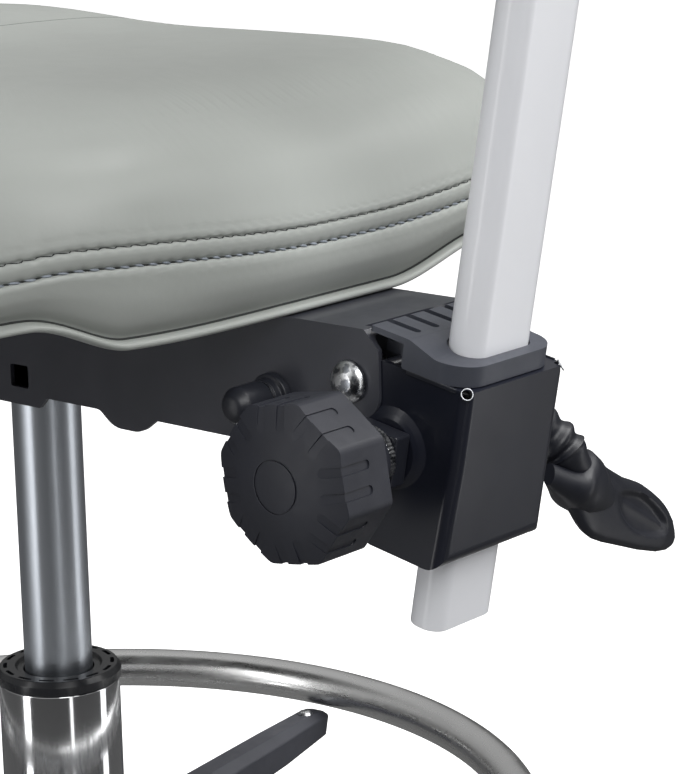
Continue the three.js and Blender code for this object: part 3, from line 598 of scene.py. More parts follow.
def make_castor(number):
    spot = joint_place(f"castor_{number}_swivel")
    place = at(spot.x, spot.y, 0) @ ARM_TURNS[number - 1]
    trail, wheel, hood_outer, hood_inner = 16, 25, 29, 26.4
    # Local frame of the wheels: Z along the axle, X outwards.
    axle = place @ at(trail, 0, wheel) @ spun(90, "X")
    sweep = [math.radians(a) for a in np.linspace(-6, 186, 40)]
    hood = prism("hood", arc(hood_outer, sweep) + arc(hood_inner, sweep[::-1]), -21, 21, axle)
    web = arc(27, np.linspace(0, math.pi, 30)) + arc(9, np.linspace(math.pi, TURN, 16))
    boss = turned("boss", [(0, 44), (8.5, 44), (8.5, 55.5), (7, 56.8), (0, 56.8)], place, 40)
    stem = turned("stem", [(0, 50), (5.3, 50), (5.3, 72.6), (4.2, 74), (0, 74)], place, 40)
    housing = cut(join(hood, prism("web", web, -5, 5, axle), boss, stem), rod(3.3, -30, 30, axle, 24))
    housing.name = f"castor_{number}_hood"
    stands_for(edged(housing, 0.7, 2, 40), BLACK_PLASTIC, f"castor_{number}_housing")
    # The axle frame's Z points along -Y of the castor, so the left wheel is at negative Z.
    for side, sign in (("left", -1), ("right", 1)):
        profile = [(3.3, 5.6), (23, 5.6, 1), (25, 8.1, 1.5), (25, 17.4, 2), (22.5, 20.4, 1), (19, 20.4, 0.8),
                   (17.5, 17.8, 1), (9, 17.8, 1), (7.5, 20.6, 0.8), (3.3, 20.6)]
        profile = [(r, sign * z, *rest) for r, z, *rest in profile]
        disc = turned(f"castor_{number}_{side}_roller", profile, axle, 72, 0.3)
        stands_for(smooth(disc, 40), RUBBER, f"castor_{number}_wheel_{side}")
    pin = turned(f"castor_{number}_pin", [(0, -20), (3, -20, 0.6), (3, 20, 0.6), (0, 20)], axle, 32)
    stands_for(smooth(pin, 40), ZINC, f"castor_{number}_axle")


# ------------------------------------------------------------------ mechanism channel and its pins

CHANNEL_HALF = high("mechanism_channel").x
SHEET = 2


def make_channel():
    half, top = CHANNEL_HALF, high("mechanism_channel").z
    front, rear, z0 = low("mechanism_channel").y, high("mechanism_channel").y, RIM
    outline = fillet([
        (front, z0 + 138, 3), (front + 14, z0 + 125, 4), (28.5, z0 + 125, 0.6), (33, z0 + 129.5, 1.5),
        (62, z0 + 129.5, 5), (69.5, z0 + 123.6, 12), (84, z0 + 123.6, 12), (92, z0 + 129.5, 2),
        (146, z0 + 129.5, 14), (176, z0 + 144, 14), (rear, z0 + 146.5, 9), (rear, top - 6.8, 1),
        (rear - 6.5, top, 1.5), (front, top, 3)],
        2, 8)
    body = prism("channel_shell", outline, -half, half, ALONG_X)
    # Round the two long upper folds before the inside is taken out.
    work = bmesh.new()
    work.from_mesh(body.data)
    folds = [e for e in work.edges
             if all(abs(v.co.z / MM - top) < 0.1 and abs(abs(v.co.x / MM) - half) < 0.01 for v in e.verts)]
    bmesh.ops.bevel(work, geom=folds, offset=5 * MM, segments=6, affect="EDGES", profile=0.5,
                    clamp_overlap=True)
    work.to_mesh(body.data)
    work.free()
    wide, roof = half - SHEET, top - SHEET
    inside = fillet([(-wide, 400, 0), (wide, 400, 0), (wide, roof, 3.4), (-wide, roof, 3.4)], 0, 6)
    # The frame below maps the local X to X, Y to Z and Z to -Y.
    upright = Matrix(((1, 0, 0, 0), (0, 0, -1, 0), (0, 1, 0, 0), (0, 0, 0, 1)))
    hollow = prism("hollow", inside, -300, 300, upright)
    notch = block("notch", (-half + 5, 191, top - 14), (half - 5, 300, top + 5))
    square = prism("square", rounded_rectangle(10, 9, 0.9, (18, z0 + 136.4)), half - 10, half + 5, ALONG_X)
    slot = block("slot", (-half - 5, -9, z0 + 155), (-half + 10, 9, z0 + 173))
    channel = cut(body, hollow, notch, square, rod(5.4, -60, 60, AT_SHAFT), rod(4.3, -60, 60, AT_PIVOT), slot)
    stands_for(edged(channel, 0.45, 3, 32), CHANNEL_PAINT_LIGHTENED, "mechanism_channel")
    # A dark sheet behind the square hole: painted shade for the channel's shadowed inside.
    liner = block("square_hole_painted_shade", (wide - 1.1, 11, z0 + 130), (wide - 0.3, 25, z0 + 142.5))
    belongs_to(edged(liner, 0.2, 2, 30), BLACK_CLOTH_AND_SHADE, "mechanism_channel")


def make_pins():
    half = CHANNEL_HALF
    dome = turned("dome", [
        (0, half - 1), (4, half - 1), (4, half + 0.3), (7.5, half + 0.3), (7.5, half + 1.5, 0.6),
        (6.4, half + 3.1, 2), (3.6, half + 4.3, 2.5), (0, half + 4.7)], AT_PIVOT, 48)
    tail = turned("tail", [(0, -half - 3), (6, -half - 3, 0.8), (6, -half - 0.3), (4, -half - 0.3),
                           (4, -half + 1), (0, -half + 1)], AT_PIVOT, 48)
    stands_for(smooth(join_loose("pivot_pin_ends", [dome, tail]), 50), ZINC, "pivot_pin")
    inner = half - 1.1
    shank = turned("pivot_pin_shank", [(0, -inner), (3.9, -inner, 0.3), (3.9, inner, 0.3),
                                       (0, inner)], AT_PIVOT, 40)
    belongs_to(smooth(shank, 40), BLACK_PAINT, "pivot_pin")
    shaft = turned("cross_shaft_bar", [(0, -46), (5, -46, 0.6), (5, half + 12, 0.6),
                                       (0, half + 12)], AT_SHAFT, 40)
    stands_for(smooth(shaft, 40), ZINC, "cross_shaft")
    cap = turned("shaft_cap_dome", [
        (5.3, half + 0.4), (8.6, half + 0.4), (8.6, half + 3.0, 0.6), (6.9, half + 3.4, 0.5),
        (6.9, half + 6.2, 0.3), (6.3, half + 6.6, 0.3), (6.3, half + 7.4, 0.3), (6.9, half + 7.8, 0.3),
        (6.9, half + 19.5, 2.5), (4.4, half + 23.0, 3), (0, half + 24), (0, half + 12.4), (5.3, half + 12.4)],
        AT_SHAFT, 56)
    stands_for(smooth(cap, 50), BLACK_PLASTIC, "shaft_end_cap")
    band = turned("shaft_cap_band", [(6.2, half + 6.7), (6.75, half + 6.7), (6.75, half + 7.3),
                                     (6.2, half + 7.3)], AT_SHAFT, 56)
    belongs_to(smooth(band, 40), BARE_EDGE, "shaft_end_cap")


def make_height_lever():
    z = joint_place("height_lever_lift").z
    path = curve_through([(5, 0, z), (-20, 0, z), (-42, 0, z), (-66, 0, z - 12), (-110, 0, z - 20),
                          (-134, 0, z - 24)], 40)
    stem = swept("height_lever_rod", path, lambda t: circle(4, 20), up=Vector((0, 1, 0)))
    grip = prism("grip", rounded_rectangle(46, 24, 11, (-148, 0), 10), z - 29, z - 21)
    stands_for(smooth(join(stem, edged(grip, 2.6, 4, 40)), 40), BLACK_PLASTIC, "height_lever")


# ------------------------------------------------------------------ tilt lever

def paddle_rise(t, v, upper):
    """Height of the paddle's face at share t of its length and -1 <= v <= 1 across."""
    rise = (4.4 - 1.4 * t) * math.sqrt(max(0.0, 1 - abs(v) ** 3)) * min(1, 6 * (1 - t) + 0.1)
    if upper:
        # An oval dished thumb rest with two soft folds, and a low ridge leading into it.
        inside = max(0.0, 1 - ((t - 0.62) / 0.27) ** 2 - (v / 0.62) ** 2)
        rise -= 2.4 * min(1, inside * 2.2)
        rise += min(1, inside * 2) * 0.9 * math.exp(-(v / 0.14) ** 2)
        rise += 0.8 * math.exp(-(v / 0.12) ** 2) * (1 - smoothstep(t, 0.22, 0.36))
    return rise


def make_paddle(length, place):
    # The outline over and under the lever's axis, as (share of its length, distance).
    over = np.array([(0, 12.6), (0.08, 12.3), (0.17, 11.5), (0.27, 10.4), (0.42, 10.6), (0.52, 11.9),
                     (0.6, 12.8), (0.7, 12.5), (0.8, 11.5), (0.9, 9.2), (0.96, 6.6), (0.99, 3.2), (1, 0.3)])
    under = np.array([(0, 13.6), (0.08, 17.6), (0.14, 19.6), (0.2, 20.2), (0.3, 19.2), (0.41, 17.5),
                      (0.64, 14.0), (0.82, 10.4), (0.92, 7.2), (0.97, 4.4), (0.99, 2.6), (1, 0.3)])
    columns, rows = 72, 32
    points = []
    for side in (1, -1):
        for i in range(columns + 1):
            t = math.sin(math.pi / 2 * i / columns)
            above, below = (float(np.interp(t, edge[:, 0], edge[:, 1])) for edge in (over, under))
            for j in range(rows + 1):
                v = -1 + 2 * j / rows
                away = v * (above if v > 0 else below)
                points.append((length * t, away, side * paddle_rise(t, v, side > 0)))
    grid = rows + 1
    back = (columns + 1) * grid
    faces = []
    for i in range(columns):
        for j in range(rows):
            a = i * grid + j
            faces.append([a, a + grid, a + grid + 1, a + 1])
            faces.append([back + a, back + a + 1, back + a + grid + 1, back + a + grid])
        for a in (i * grid, i * grid + rows):
            faces.append([a, a + grid, back + a + grid, back + a])
    for j in range(rows):
        for a in (j, columns * grid + j):
            faces.append([a, a + 1, back + a + 1, back + a])
    paddle = new_piece("paddle", points, faces, place)
    modify(paddle, "WELD", merge_threshold=0.00005)
    return outward(baked(paddle))


def make_tilt_lever():
    y, z = SHAFT.y, SHAFT.z
    path = curve_through([(-35, y, z), (-42, y + 1, z), (-57, 180, RIM + 132), (-66, 194, RIM + 124),
                          (-73, 202, RIM + 115), (-77, 205, RIM + 108), (-86, 206, RIM + 99)], 90)

    def bellows(t):
        ribs = 0.9 * math.cos(TURN * t * 11) * (t < 0.72)
        return circle((9.0 + ribs) * (1 - 0.45 * max(0, t - 0.75) / 0.25), 32)

    stalk = swept("stalk", path, bellows)
    neck, tip = Vector((-77, 206, RIM + 103.5)), Vector((-146, 206, RIM + 62))
    along = (tip - neck).normalized()
    facing = Vector((0, 0.95, 0.3))
    facing = (facing - along * along.dot(facing)).normalized()
    axes = Matrix((along, facing.cross(along), facing)).transposed()
    place = Matrix.Translation(neck) @ axes.to_4x4()
    # The hollow arm that takes the stalk; its open end is cut at a slant.
    rings = []
    for d in np.linspace(-17, 27, 34):
        upper = np.interp(d, (-17, -6, -2.5, 5, 12, 27), (-1.0, 0.2, 1.4, 12.5, 11.6, 4.5))
        lower = np.interp(d, (-17, -8, 0, 8, 16, 27), (-9.6, -11.6, -13.4, -14.0, -11.5, -7.5))
        deep = np.interp(d, (-17, -8, 0, 12, 27), (2.5, 6.0, 9.6, 8.2, 3.6))
        rings.append([(d, (upper + lower) / 2 + (upper - lower) / 2 * x, deep * h) for x, h in circle(1, 40)])
    socket = skin("socket", rings, place)
    lever = join_loose("tilt_lever_handle", [stalk, socket, make_paddle((tip - neck).length, place)])
    stands_for(smooth(lever, 50), LEVER_PLASTIC_DARKENED, "tilt_lever")


# ------------------------------------------------------------------ backrest carrier

BAR_WIDTH, BAR_DEPTH, BAR_WALL = 35, 15, 1.6


def bar_opening(gap, bottom, top):
    outline = rounded_rectangle(BAR_WIDTH + 2 * gap, BAR_DEPTH + 2 * gap, 6.6 + gap)
    return prism("bar_opening", outline, bottom, top, CARRIER)


def make_bracket():
    bottom, top, rear, sheet = -72.9, -6.4, 15, 2
    # Distances of the right (-X) and left (+X) side plates; they widen below flare_top.
    half_top, half_bottom, flare_top = (27.2, 28.7), (27.6, 31), -34

    def shell(inset, name, front, low_w, high_w):
        """A box whose sides flare below flare_top, with rounded rear corners."""
        rings = []
        levels = [(low_w, half_bottom), (bottom, half_bottom), (flare_top, half_top), (high_w, half_top)]
        for w, (right, left) in levels:
            right, left, back, turn = inset - right, left - inset, rear - inset, 4.2 - inset * 0.9
            plan = fillet([(right, front, 0), (left, front, 0), (left, back, turn), (right, back, turn)],
                          0, 6)
            rings.append([(x, u, w) for x, u in plan])
        return skin(name, rings, CARRIER)

    pu, pw = PIVOT_LOCAL.y, PIVOT_LOCAL.z
    side = fillet([(-19, bottom, 3), (rear, bottom, 7), (rear, top, 0), (pu + 12, top, 0)], 0, 8)
    side += arc(12.5, np.linspace(0.9, math.pi + 0.5, 18), pu, pw) + [(-23.5, bottom + 18)]
    outer = shell(0, "bracket_sheet", -70, bottom - 1, top + 40)
    combine(outer, [prism("profile", side, -60, 60, CARRIER_X)], "INTERSECT")
    inner = shell(sheet, "inner", -90, bottom - 30, top - sheet)
    front_open = block("front_open", (sheet - half_top[0], -100, top - 30),
                       (half_top[1] - sheet, -12.5, top + 60), CARRIER)
    corners = []
    for x in (-25.9, 27.4):
        turn = Vector((x, abs(x), abs(x))).to_track_quat("Z", "Y")
        corners.append(CARRIER @ at(x, 13.6, -7) @ turn.to_matrix().to_4x4())
    bracket = cut(outer, inner, bar_opening(1, -200, 200), front_open,
                  rod(4.3, -60, 60, CARRIER_X @ at(pu, pw, 0)), rod(4.4, -60, 60, AT_CLAMP),
                  *(rod(1.9, -4, 8, place, 24) for place in corners))
    boss = turned("boss", [(4.4, 26.2), (21, 26.0), (21, 26.8), (17, 27.8, 20), (13.2, 30.2, 6),
                           (11.5, 31.1, 0.6), (4.4, 31.1)], AT_CLAMP, 64)
    bracket = join(bracket, boss)
    stands_for(edged(bracket, 0.45, 3, 32), BRACKET_PAINT_DARKENED, "backrest_bracket")
    rims = [turned("rim", [(2.0 + x, y) for x, y in circle(0.26, 10)], place, 32) for place in corners]
    belongs_to(smooth(join_loose("relief_hole_rims", rims), 40), BARE_EDGE, "backrest_bracket")
    # The top flange is folded double: a thin lip runs along the upper edge of each side plate.
    lips = [block("lip", (x - 0.55, -12, top - 1.2), (x + 0.55, rear - 5, top + 0.5), CARRIER)
            for x in (-half_top[0], half_top[1])]
    belongs_to(edged(join_loose("bracket_fold_lips", lips), 0.4, 2, 40), BLACK_PAINT, "backrest_bracket")


def make_collar():
    left, right, front, rear, rim_top, comb_top, comb_end = 29.6, 24.8, -29.5, 13.2, 1.4, 5.0, -12
    side = [(front, 2.8, 0.5), (front, comb_top, 1), (comb_end, comb_top, 6), (0, rim_top, 8),
            (rear + 5, rim_top, 0), (rear + 5, -6, 0), (-14, -6, 1), (-14, 2.8, 0.5)]
    body = prism("collar_guide", fillet(side, 0, 8), -right - 5, left + 5, CARRIER_X)
    plan = fillet([(-right, front, 1.5), (left, front, 1.5), (left, rear, 12), (-right, rear, 12)], 0, 12)
    combine(body, [prism("plan", plan, -30, 30, CARRIER)], "INTERSECT")
    slots = [prism("slot", fillet([(x - 1.6, front - 4, 0), (x + 1.6, front - 4, 0), (x + 1.6, -15, 1.5),
                                   (x - 1.6, -15, 1.5)], 0, 6), -20, 20, CARRIER)
             for x in (-20, -10, 0, 10, 20)]
    web = block("web", (-22, -27, -5), (22, -13, 3.2), CARRIER)
    collar = cut(join(body, web), bar_opening(0.6, -50, 50), *slots)
    stands_for(edged(collar, 0.7, 3, 34), COLLAR_PLASTIC, "collar_sleeve")


def make_bar():
    bottom, top = -102.7, 308
    outline = rounded_rectangle(BAR_WIDTH, BAR_DEPTH, 6.6, (0, 0), 10)
    wide, deep = BAR_WIDTH - 2 * BAR_WALL, BAR_DEPTH - 2 * BAR_WALL
    inner = rounded_rectangle(wide, deep, 5, (0, 0), 8)
    bar = cut(prism("bar_tube", outline, bottom, top, CARRIER),
              prism("inner", inner, bottom - 5, top - 3, CARRIER))
    stands_for(edged(bar, 0.5, 3, 40), WHITE_PAINT, "backrest_bar")
    closed = rounded_rectangle(wide - 0.6, deep - 0.6, 4.7, (0, 0), 8)
    plug = prism("bar_plug", closed, bottom + 0.3, bottom + 14, CARRIER)
    stands_for(edged(plug, 0.8, 3, 40), WHITE_PLASTIC, "bar_end_plug")


def make_clamp_knob():
    face, dome, depth, radius, turn, corners = 85, 4.5, 22.5, 29.3, -3, 8
    back, crown_radius = face - depth, 28

    def crown(r):
        return face + dome * (1 - (r / crown_radius) ** 2)

    outline = [(*arc(radius, [math.radians(turn + 45 * k)])[0], 4) for k in range(corners)]
    body = prism("clamp_knob_grip", fillet(outline, 4, 6), back, face + dome + 2, AT_CLAMP)
    cover = [(0, back - 2), (34, back - 2)] + [(r, crown(r)) for r in np.linspace(34, 0, 18)]
    combine(body, [turned("cover", cover, AT_CLAMP, 96)], "INTERSECT", "MANIFOLD")
    modify(body, "BEVEL", width=1.2 * MM, segments=4, limit_method="ANGLE", angle_limit=math.radians(40))
    baked(body)
    neck = turned("neck", [(0, 43.2), (12, 43.2, 0.6), (12.5, back + 2, 0.5), (0, back + 2)], AT_CLAMP, 48)
    combine(body, [neck], "UNION", "MANIFOLD")
    flat = radius * math.cos(math.pi / corners)
    slope = math.atan(2 * dome * flat / crown_radius ** 2)
    slots = []
    for k in range(corners):
        spin = AT_CLAMP @ spun(turn + 45 * k + 22.5)
        # One frame lies on the side, with Z along the radius; the other on the face, with X inwards.
        on_side = spin @ Matrix(((0, 0, 1, flat), (0, 1, 0, 0), (1, 0, 0, 0), (0, 0, 0, 1)))
        on_face = spin @ Matrix(((-math.cos(slope), 0, math.sin(slope), flat), (0, -1, 0, 0),
                                 (math.sin(slope), 0, math.cos(slope), crown(flat)), (0, 0, 0, 1)))
        for offset in (-4.3, 4.3):
            a, b, end = offset - 1.65, offset + 1.65, face - 13.6
            side_slot = fillet([(end, a, 1.5), (face + 6, a, 0), (face + 6, b, 0), (end, b, 1.5)], 0, 5)
            face_slot = fillet([(-5, a, 0), (9, a, 1.5), (9, b, 1.5), (-5, b, 0)], 0, 5)
            slots.append(prism("slot", side_slot, -0.5, 5, on_side))
            slots.append(prism("slot", face_slot, -0.5, 5, on_face))
    groove = crown(9.2) - 0.45
    disc = turned("disc", [(8.9, groove), (9.4, groove), (9.4, face + 9), (8.9, face + 9)], AT_CLAMP, 64)
    knob = combine(body, [disc, rod(4.3, 0, face - 7.7, AT_CLAMP), *slots], "DIFFERENCE", "MANIFOLD")
    stands_for(edged(knob, 0.22, 2, 42), DARK_PLASTIC, "clamp_knob")
    screw = turned("clamp_screw_shank", [(0, -36), (6.5, -36, 0.8), (6.5, -32), (4, -32), (4, face - 8),
                                         (0, face - 8)], AT_CLAMP, 40)
    stands_for(smooth(screw, 40), ZINC, "clamp_screw")


def make_clamp_hardware():
    teeth = [arc(11.2 if k % 2 else 10.8, [TURN * k / 96])[0] for k in range(96)]
    washer = cut(prism("knurled_washer", teeth, 39.4, 42.8, AT_CLAMP), rod(4.4, 30, 50, AT_CLAMP))
    stands_for(edged(washer, 0.3, 2, 20), ZINC, "clamp_washer")
    nut = prism("square_nut", rounded_rectangle(19.2, 19.2, 1.2, (0, 0), 4), 31.4, 39, AT_CLAMP)
    nut = cut(nut, rod(4.4, 20, 60, AT_CLAMP))
    stands_for(edged(nut, 0.9, 2, 40), BLACK_PAINT, "clamp_nut")


# ------------------------------------------------------------------ upholstery

STITCH = 5.6


def tree_of(points):
    tree = kdtree.KDTree(len(points))
    for i, p in enumerate(points):
        tree.insert(p, i)
    tree.balance()
    return tree


def positions(mesh):
    values = np.empty(len(mesh.vertices) * 3)
    mesh.vertices.foreach_get("co", values)
    return values.reshape(-1, 3)


def inflate(name, grid, held, pressure=4.0, cap=6.0):
    """Swells a closed form by cloth simulation; held(point) says what stays put.

    Returns the mould's points and how each one moves, in metres."""
    mould = closed_grid(name, grid)
    modify(mould, "REMESH", mode="VOXEL", voxel_size=6 * MM)
    start = positions(baked(mould).data)
    moves = np.zeros_like(start)
    moves = swelling(mould, start, pressure, cap, held)
    bpy.data.objects.remove(mould)
    return start, moves


def swelling(mould, start, pressure, cap, held):
    pinned = mould.vertex_groups.new(name="held")
    pinned.add([i for i, p in enumerate(start / MM) if held(p)], 1.0, "REPLACE")
    cloth = mould.modifiers.new("cloth", "CLOTH").settings
    cloth.use_pressure = True
    cloth.uniform_pressure_force = pressure
    cloth.effector_weights.gravity = 0
    cloth.vertex_group_mass = "held"
    cloth.tension_stiffness = cloth.compression_stiffness = 30
    cloth.bending_stiffness = 2
    scene = bpy.context.scene
    for step in range(1, 21):
        scene.frame_set(step)
    mesh = mould.evaluated_get(bpy.context.evaluated_depsgraph_get()).to_mesh()
    moves = positions(mesh) - start
    size = np.linalg.norm(moves, axis=1, keepdims=True)
    moves *= np.minimum(1, cap * MM / np.maximum(size, 1e-9))
    scene.frame_set(1)
    tree = tree_of(start)
    near = np.array([[index for _, index, _ in tree.find_n(p, 28)] for p in start])
    for _ in range(3):
        moves = moves[near].mean(1)
    return moves


def carry(points, start, moves, weight):
    """Moves fine points by the coarse moves of their neighbours, times each point's weight."""
    tree = tree_of(start)
    result = points.copy()
    for i, p in enumerate(points):
        if weight[i] <= 0:
            continue
        total, shift = 0.0, np.zeros(3)
        for _, index, distance in tree.find_n(p * MM, 6):
            w = 1 / (distance + 1e-4)
            total += w
            shift += moves[index] * w
        result[i] += shift / total / MM * weight[i]
    return result


def spaced(outline, count):
    """Evenly spaced points round a closed outline, and the outline's length."""
    loop = np.vstack([outline, outline[:1]])
    lengths = np.r_[0, np.cumsum(np.linalg.norm(np.diff(loop, axis=0), axis=1))]
    spots = np.linspace(0, lengths[-1], count, endpoint=False)
    return np.c_[np.interp(spots, lengths, loop[:, 0]), np.interp(spots, lengths, loop[:, 1])], lengths[-1]


def outline_normals(points, step=1, middle=(0, 0)):
    ahead = np.roll(points, -step, 0) - np.roll(points, step, 0)
    normals = np.c_[ahead[:, 1], -ahead[:, 0]]
    normals /= np.linalg.norm(normals, axis=1, keepdims=True)
    return -normals if ((points - np.array(middle)) * normals).sum() < 0 else normals


def closed_grid(name, grid):
    """A closed piece from rows of points, with a fan of triangles at each end."""
    rows, count = grid.shape[:2]
    end = rows * count
    points = [tuple(p) for p in grid.reshape(-1, 3)] + [tuple(grid[-1].mean(0)), tuple(grid[0].mean(0))]
    faces = grid_faces(rows, count)
    faces += [[end - count + k, end - count + (k + 1) % count, end] for k in range(count)]
    faces += [[(k + 1) % count, k, end + 1] for k in range(count)]
    return outward(new_piece(name, points, faces))


def grid_normals(grid):
    """Unit normals of a closed-around grid of points, pointing out."""
    along = np.roll(grid, -1, 1) - np.roll(grid, 1, 1)
    normal = np.cross(along, np.gradient(grid, axis=0))
    normal /= np.maximum(np.linalg.norm(normal, axis=2, keepdims=True), 1e-9)
    middle = grid.reshape(-1, 3).mean(0)
    return -normal if ((grid - middle) * normal).sum() < 0 else normal


def refined_rows(grid, spots, wanted):
    """The same surface with rows at the wanted section heights, by smooth interpolation."""
    flat = grid.reshape(len(spots), -1)
    slopes = np.gradient(flat, spots, axis=0)
    result = []
    for s in wanted:
        k = min(max(np.searchsorted(spots, s) - 1, 0), len(spots) - 2)
        h = spots[k + 1] - spots[k]
        t = (s - spots[k]) / h
        result.append((2 * t ** 3 - 3 * t ** 2 + 1) * flat[k] + (t ** 3 - 2 * t ** 2 + t) * h * slopes[k]
                      + (-2 * t ** 3 + 3 * t ** 2) * flat[k + 1] + (t ** 3 - t ** 2) * h * slopes[k + 1])
    return np.array(result).reshape(len(wanted), *grid.shape[1:])


def section_lengths(grid):
    """Distance along the section for each row, measured where the outline is straight."""
    return np.r_[0, np.cumsum(np.linalg.norm(np.diff(grid[:, 0], axis=0), axis=1))]


def sew(grid, normals, spots, around, seams, notch):
    """Presses seams into the surface: a fine crease with a pinch at each stitch and small puckers."""
    count = grid.shape[1]
    along = np.arange(count) / count * around
    pinch = (0.5 + 0.5 * np.cos(2 * np.pi * along / STITCH)) ** 4
    ripple = np.zeros(count)
    for wave, strength in ((11.0, 0.5), (17.3, 0.35), (7.1, 0.3)):
        ripple += strength * np.sin(2 * np.pi * along / wave + RNG.uniform(0, 6.28))
    patch = 0.5 + 0.5 * np.sin(2 * np.pi * along / around * 3 + 1.1)
    result = grid.copy()
    for seam, depth in seams:
        away = spots - seam
        crease = -depth * np.exp(-(away / 0.55) ** 2)
        pinches = -notch * np.exp(-(away / 1.3) ** 2)[:, None] * pinch[None, :]
        roll = 0.30 * depth * (np.exp(-((np.abs(away) - 2.4) / 1.5) ** 2))
        pucker = 0.26 * (away > 0) * np.exp(-np.abs(away) / 6.0)
        shift = (crease + roll)[:, None] + pinches + pucker[:, None] * ripple[None, :] * patch[None, :]
        result += normals * shift[..., None]
    return result


def upholster(name, grid, spots, swell, weight, around, seams, notch):
    """A swollen and sewn cover; also returns line(spot), its points and normals at a section height."""
    grid = carry(grid.reshape(-1, 3), *swell, weight).reshape(grid.shape)
    grid = sew(grid, grid_normals(grid), spots, around, seams, notch)
    normals = grid_normals(grid)

    def line(spot):
        k = int(np.clip(np.searchsorted(spots, spot), 1, len(spots) - 1))
        t = (spot - spots[k - 1]) / (spots[k] - spots[k - 1])
        return [rows[k - 1] * (1 - t) + rows[k] * t for rows in (grid, normals)]

    return smooth(closed_grid(name, grid), 0), line


def stitches(name, path, normals, size=0.5, lift=0.25, fill=0.72):
    """A line of sewn thread: each stitch is a short arched tube along the path."""
    step = np.linalg.norm(np.diff(path, axis=0, append=path[:1]), axis=1)
    total = step.sum()
    spots = np.r_[0, np.cumsum(step)]
    loop, loop_normals = np.vstack([path, path[:1]]), np.vstack([normals, normals[:1]])
    number = int(total / STITCH)
    sides, parts = 6, 5

    def along(rows, s):
        return np.array([np.interp(s, spots, rows[:, c]) for c in range(3)])

    points, faces = [], []
    for k in range(number):
        start = len(points)
        for f in (j / parts for j in range(parts + 1)):
            s = (k + 0.5 - fill / 2 + fill * f) * (total / number)
            centre, out = along(loop, s), along(loop_normals, s)
            ahead = along(loop, min(s + 0.5, total)) - centre
            ahead /= max(np.linalg.norm(ahead), 1e-9)
            side = np.cross(ahead, out)
            arch = math.sin(math.pi * f)
            radius = size * (0.35 + 0.65 * arch ** 0.4)
            centre = centre + out * (lift * arch + 0.05) + side * (f - 0.5) * 0.7
            points += [tuple(centre + side * x + out * y) for x, y in circle(radius, sides)]
        faces += [[start + i for i in face] for face in tube_faces(parts + 1, sides)]
    return smooth(outward(new_piece(name, points, faces)), 0)


def seam_line(name, path, normals, radius, sink, notch=0.0, slant=0.0):
    """A dark cord in a closed seam's crease, painted shade for the crease and its stitch holes, wider where each
    stitch pulls.

    With a slant the line climbs along each stitch and steps back at its end."""
    step = np.linalg.norm(np.diff(path, axis=0, append=path[:1]), axis=1)
    along = np.r_[0, np.cumsum(step)[:-1]]
    pitch = step.sum() / int(step.sum() / STITCH)
    pull = (0.5 + 0.5 * np.cos(2 * np.pi * along / pitch)) ** 12
    ahead = np.roll(path, -1, 0) - np.roll(path, 1, 0)
    side = np.cross(ahead / np.linalg.norm(ahead, axis=1, keepdims=True), normals)
    centre = path - normals * sink + side * (slant * (along / pitch % 1 - 0.5))[:, None]
    size = (radius + notch * pull)[:, None]
    rings = np.stack([centre + side * x * size + normals * y * radius for x, y in circle(1, 8)], 1)
    return smooth(skin(name, rings.tolist(), loop=True), 0)


# ------------------------------------------------------------------ seat

SEAT_HALF = high("seat_cushion").x
SEAT_REAR = high("seat_cushion").y
SEAT_FRONT = low("seat_cushion").y
SEAT_MID = Vector((0, (SEAT_REAR + SEAT_FRONT) / 2))
EASE = 56

# The seat's section, from the wrapped rim up to the crown, as
# (inset from the plan, height over the column's rim).
SEAT_SECTION = [
    (18.0, 181.2), (13.0, 179.4), (9.4, 178.35), (6.8, 178.3), (5.3, 178.75), (4.8, 179.5), (4.9, 180.3),
    (5.7, 181.0), (7.1, 181.5), (8.6, 181.9), (8.2, 182.9), (6.6, 184.6), (4.7, 187.0), (3.1, 190.0),
    (1.8, 193.2), (1.1, 196.6), (0.9, 199.6), (1.2, 201.8), (1.7, 203.3), (1.4, 204.9), (1.0, 207.3),
    (0.9, 209.2), (0.9, 210.3), (0.6, 211.4), (0.2, 213.6), (0.0, 216.4), (0.7, 220.8), (2.2, 225.6),
    (4.4, 230.2), (7.2, 234.6), (11.0, 238.8), (16.0, 242.4), (22.5, 245.5), (30.0, 247.9), (39.0, 249.9),
    (49.0, 251.5), (59.0, 252.8)]
CREASE, SEAM_LOW, SEAM_HIGH = 181.9, 203.3, 210.3
TOP_SEAM = -50.0


def seat_outline(count):
    """Points and unit normals round the seat's plan, evenly spaced, and its length."""
    corners = [(SEAT_HALF, SEAT_REAR, 92), (-SEAT_HALF, SEAT_REAR, 92), (-SEAT_HALF, SEAT_FRONT, 112),
               (SEAT_HALF, SEAT_FRONT, 112)]
    dense = np.array(fillet(corners, 90, 60))
    bulge = 1 + 0.012 * np.cos(np.pi * (dense[:, 1] - SEAT_MID.y) / (SEAT_REAR - SEAT_FRONT))
    dense[:, 0] *= bulge / 1.012
    dense[:, 1] += -1.5 * (dense[:, 0] / SEAT_HALF) ** 2 * np.sign(dense[:, 1] - SEAT_MID.y)
    points, around = spaced(dense, count)
    # The straights ease into the corners over EASE millimetres.
    reach = int(EASE / 2 / around * count)
    for _ in range(2):
        points = sum(np.roll(points, k, 0) for k in range(-reach, reach + 1)) / (2 * reach + 1)
    return points, outline_normals(points, 1, SEAT_MID), around


def rim_wave(x):
    """How far the board's edge curves up towards the two sides; it starts sooner on the right (-X)."""
    near = 9.3 * smoothstep(np.abs(x), 102, 131) - 4.0 * smoothstep(np.abs(x), 130, 152)
    return np.maximum(near, 9.5 * smoothstep(-x, 28, 84))


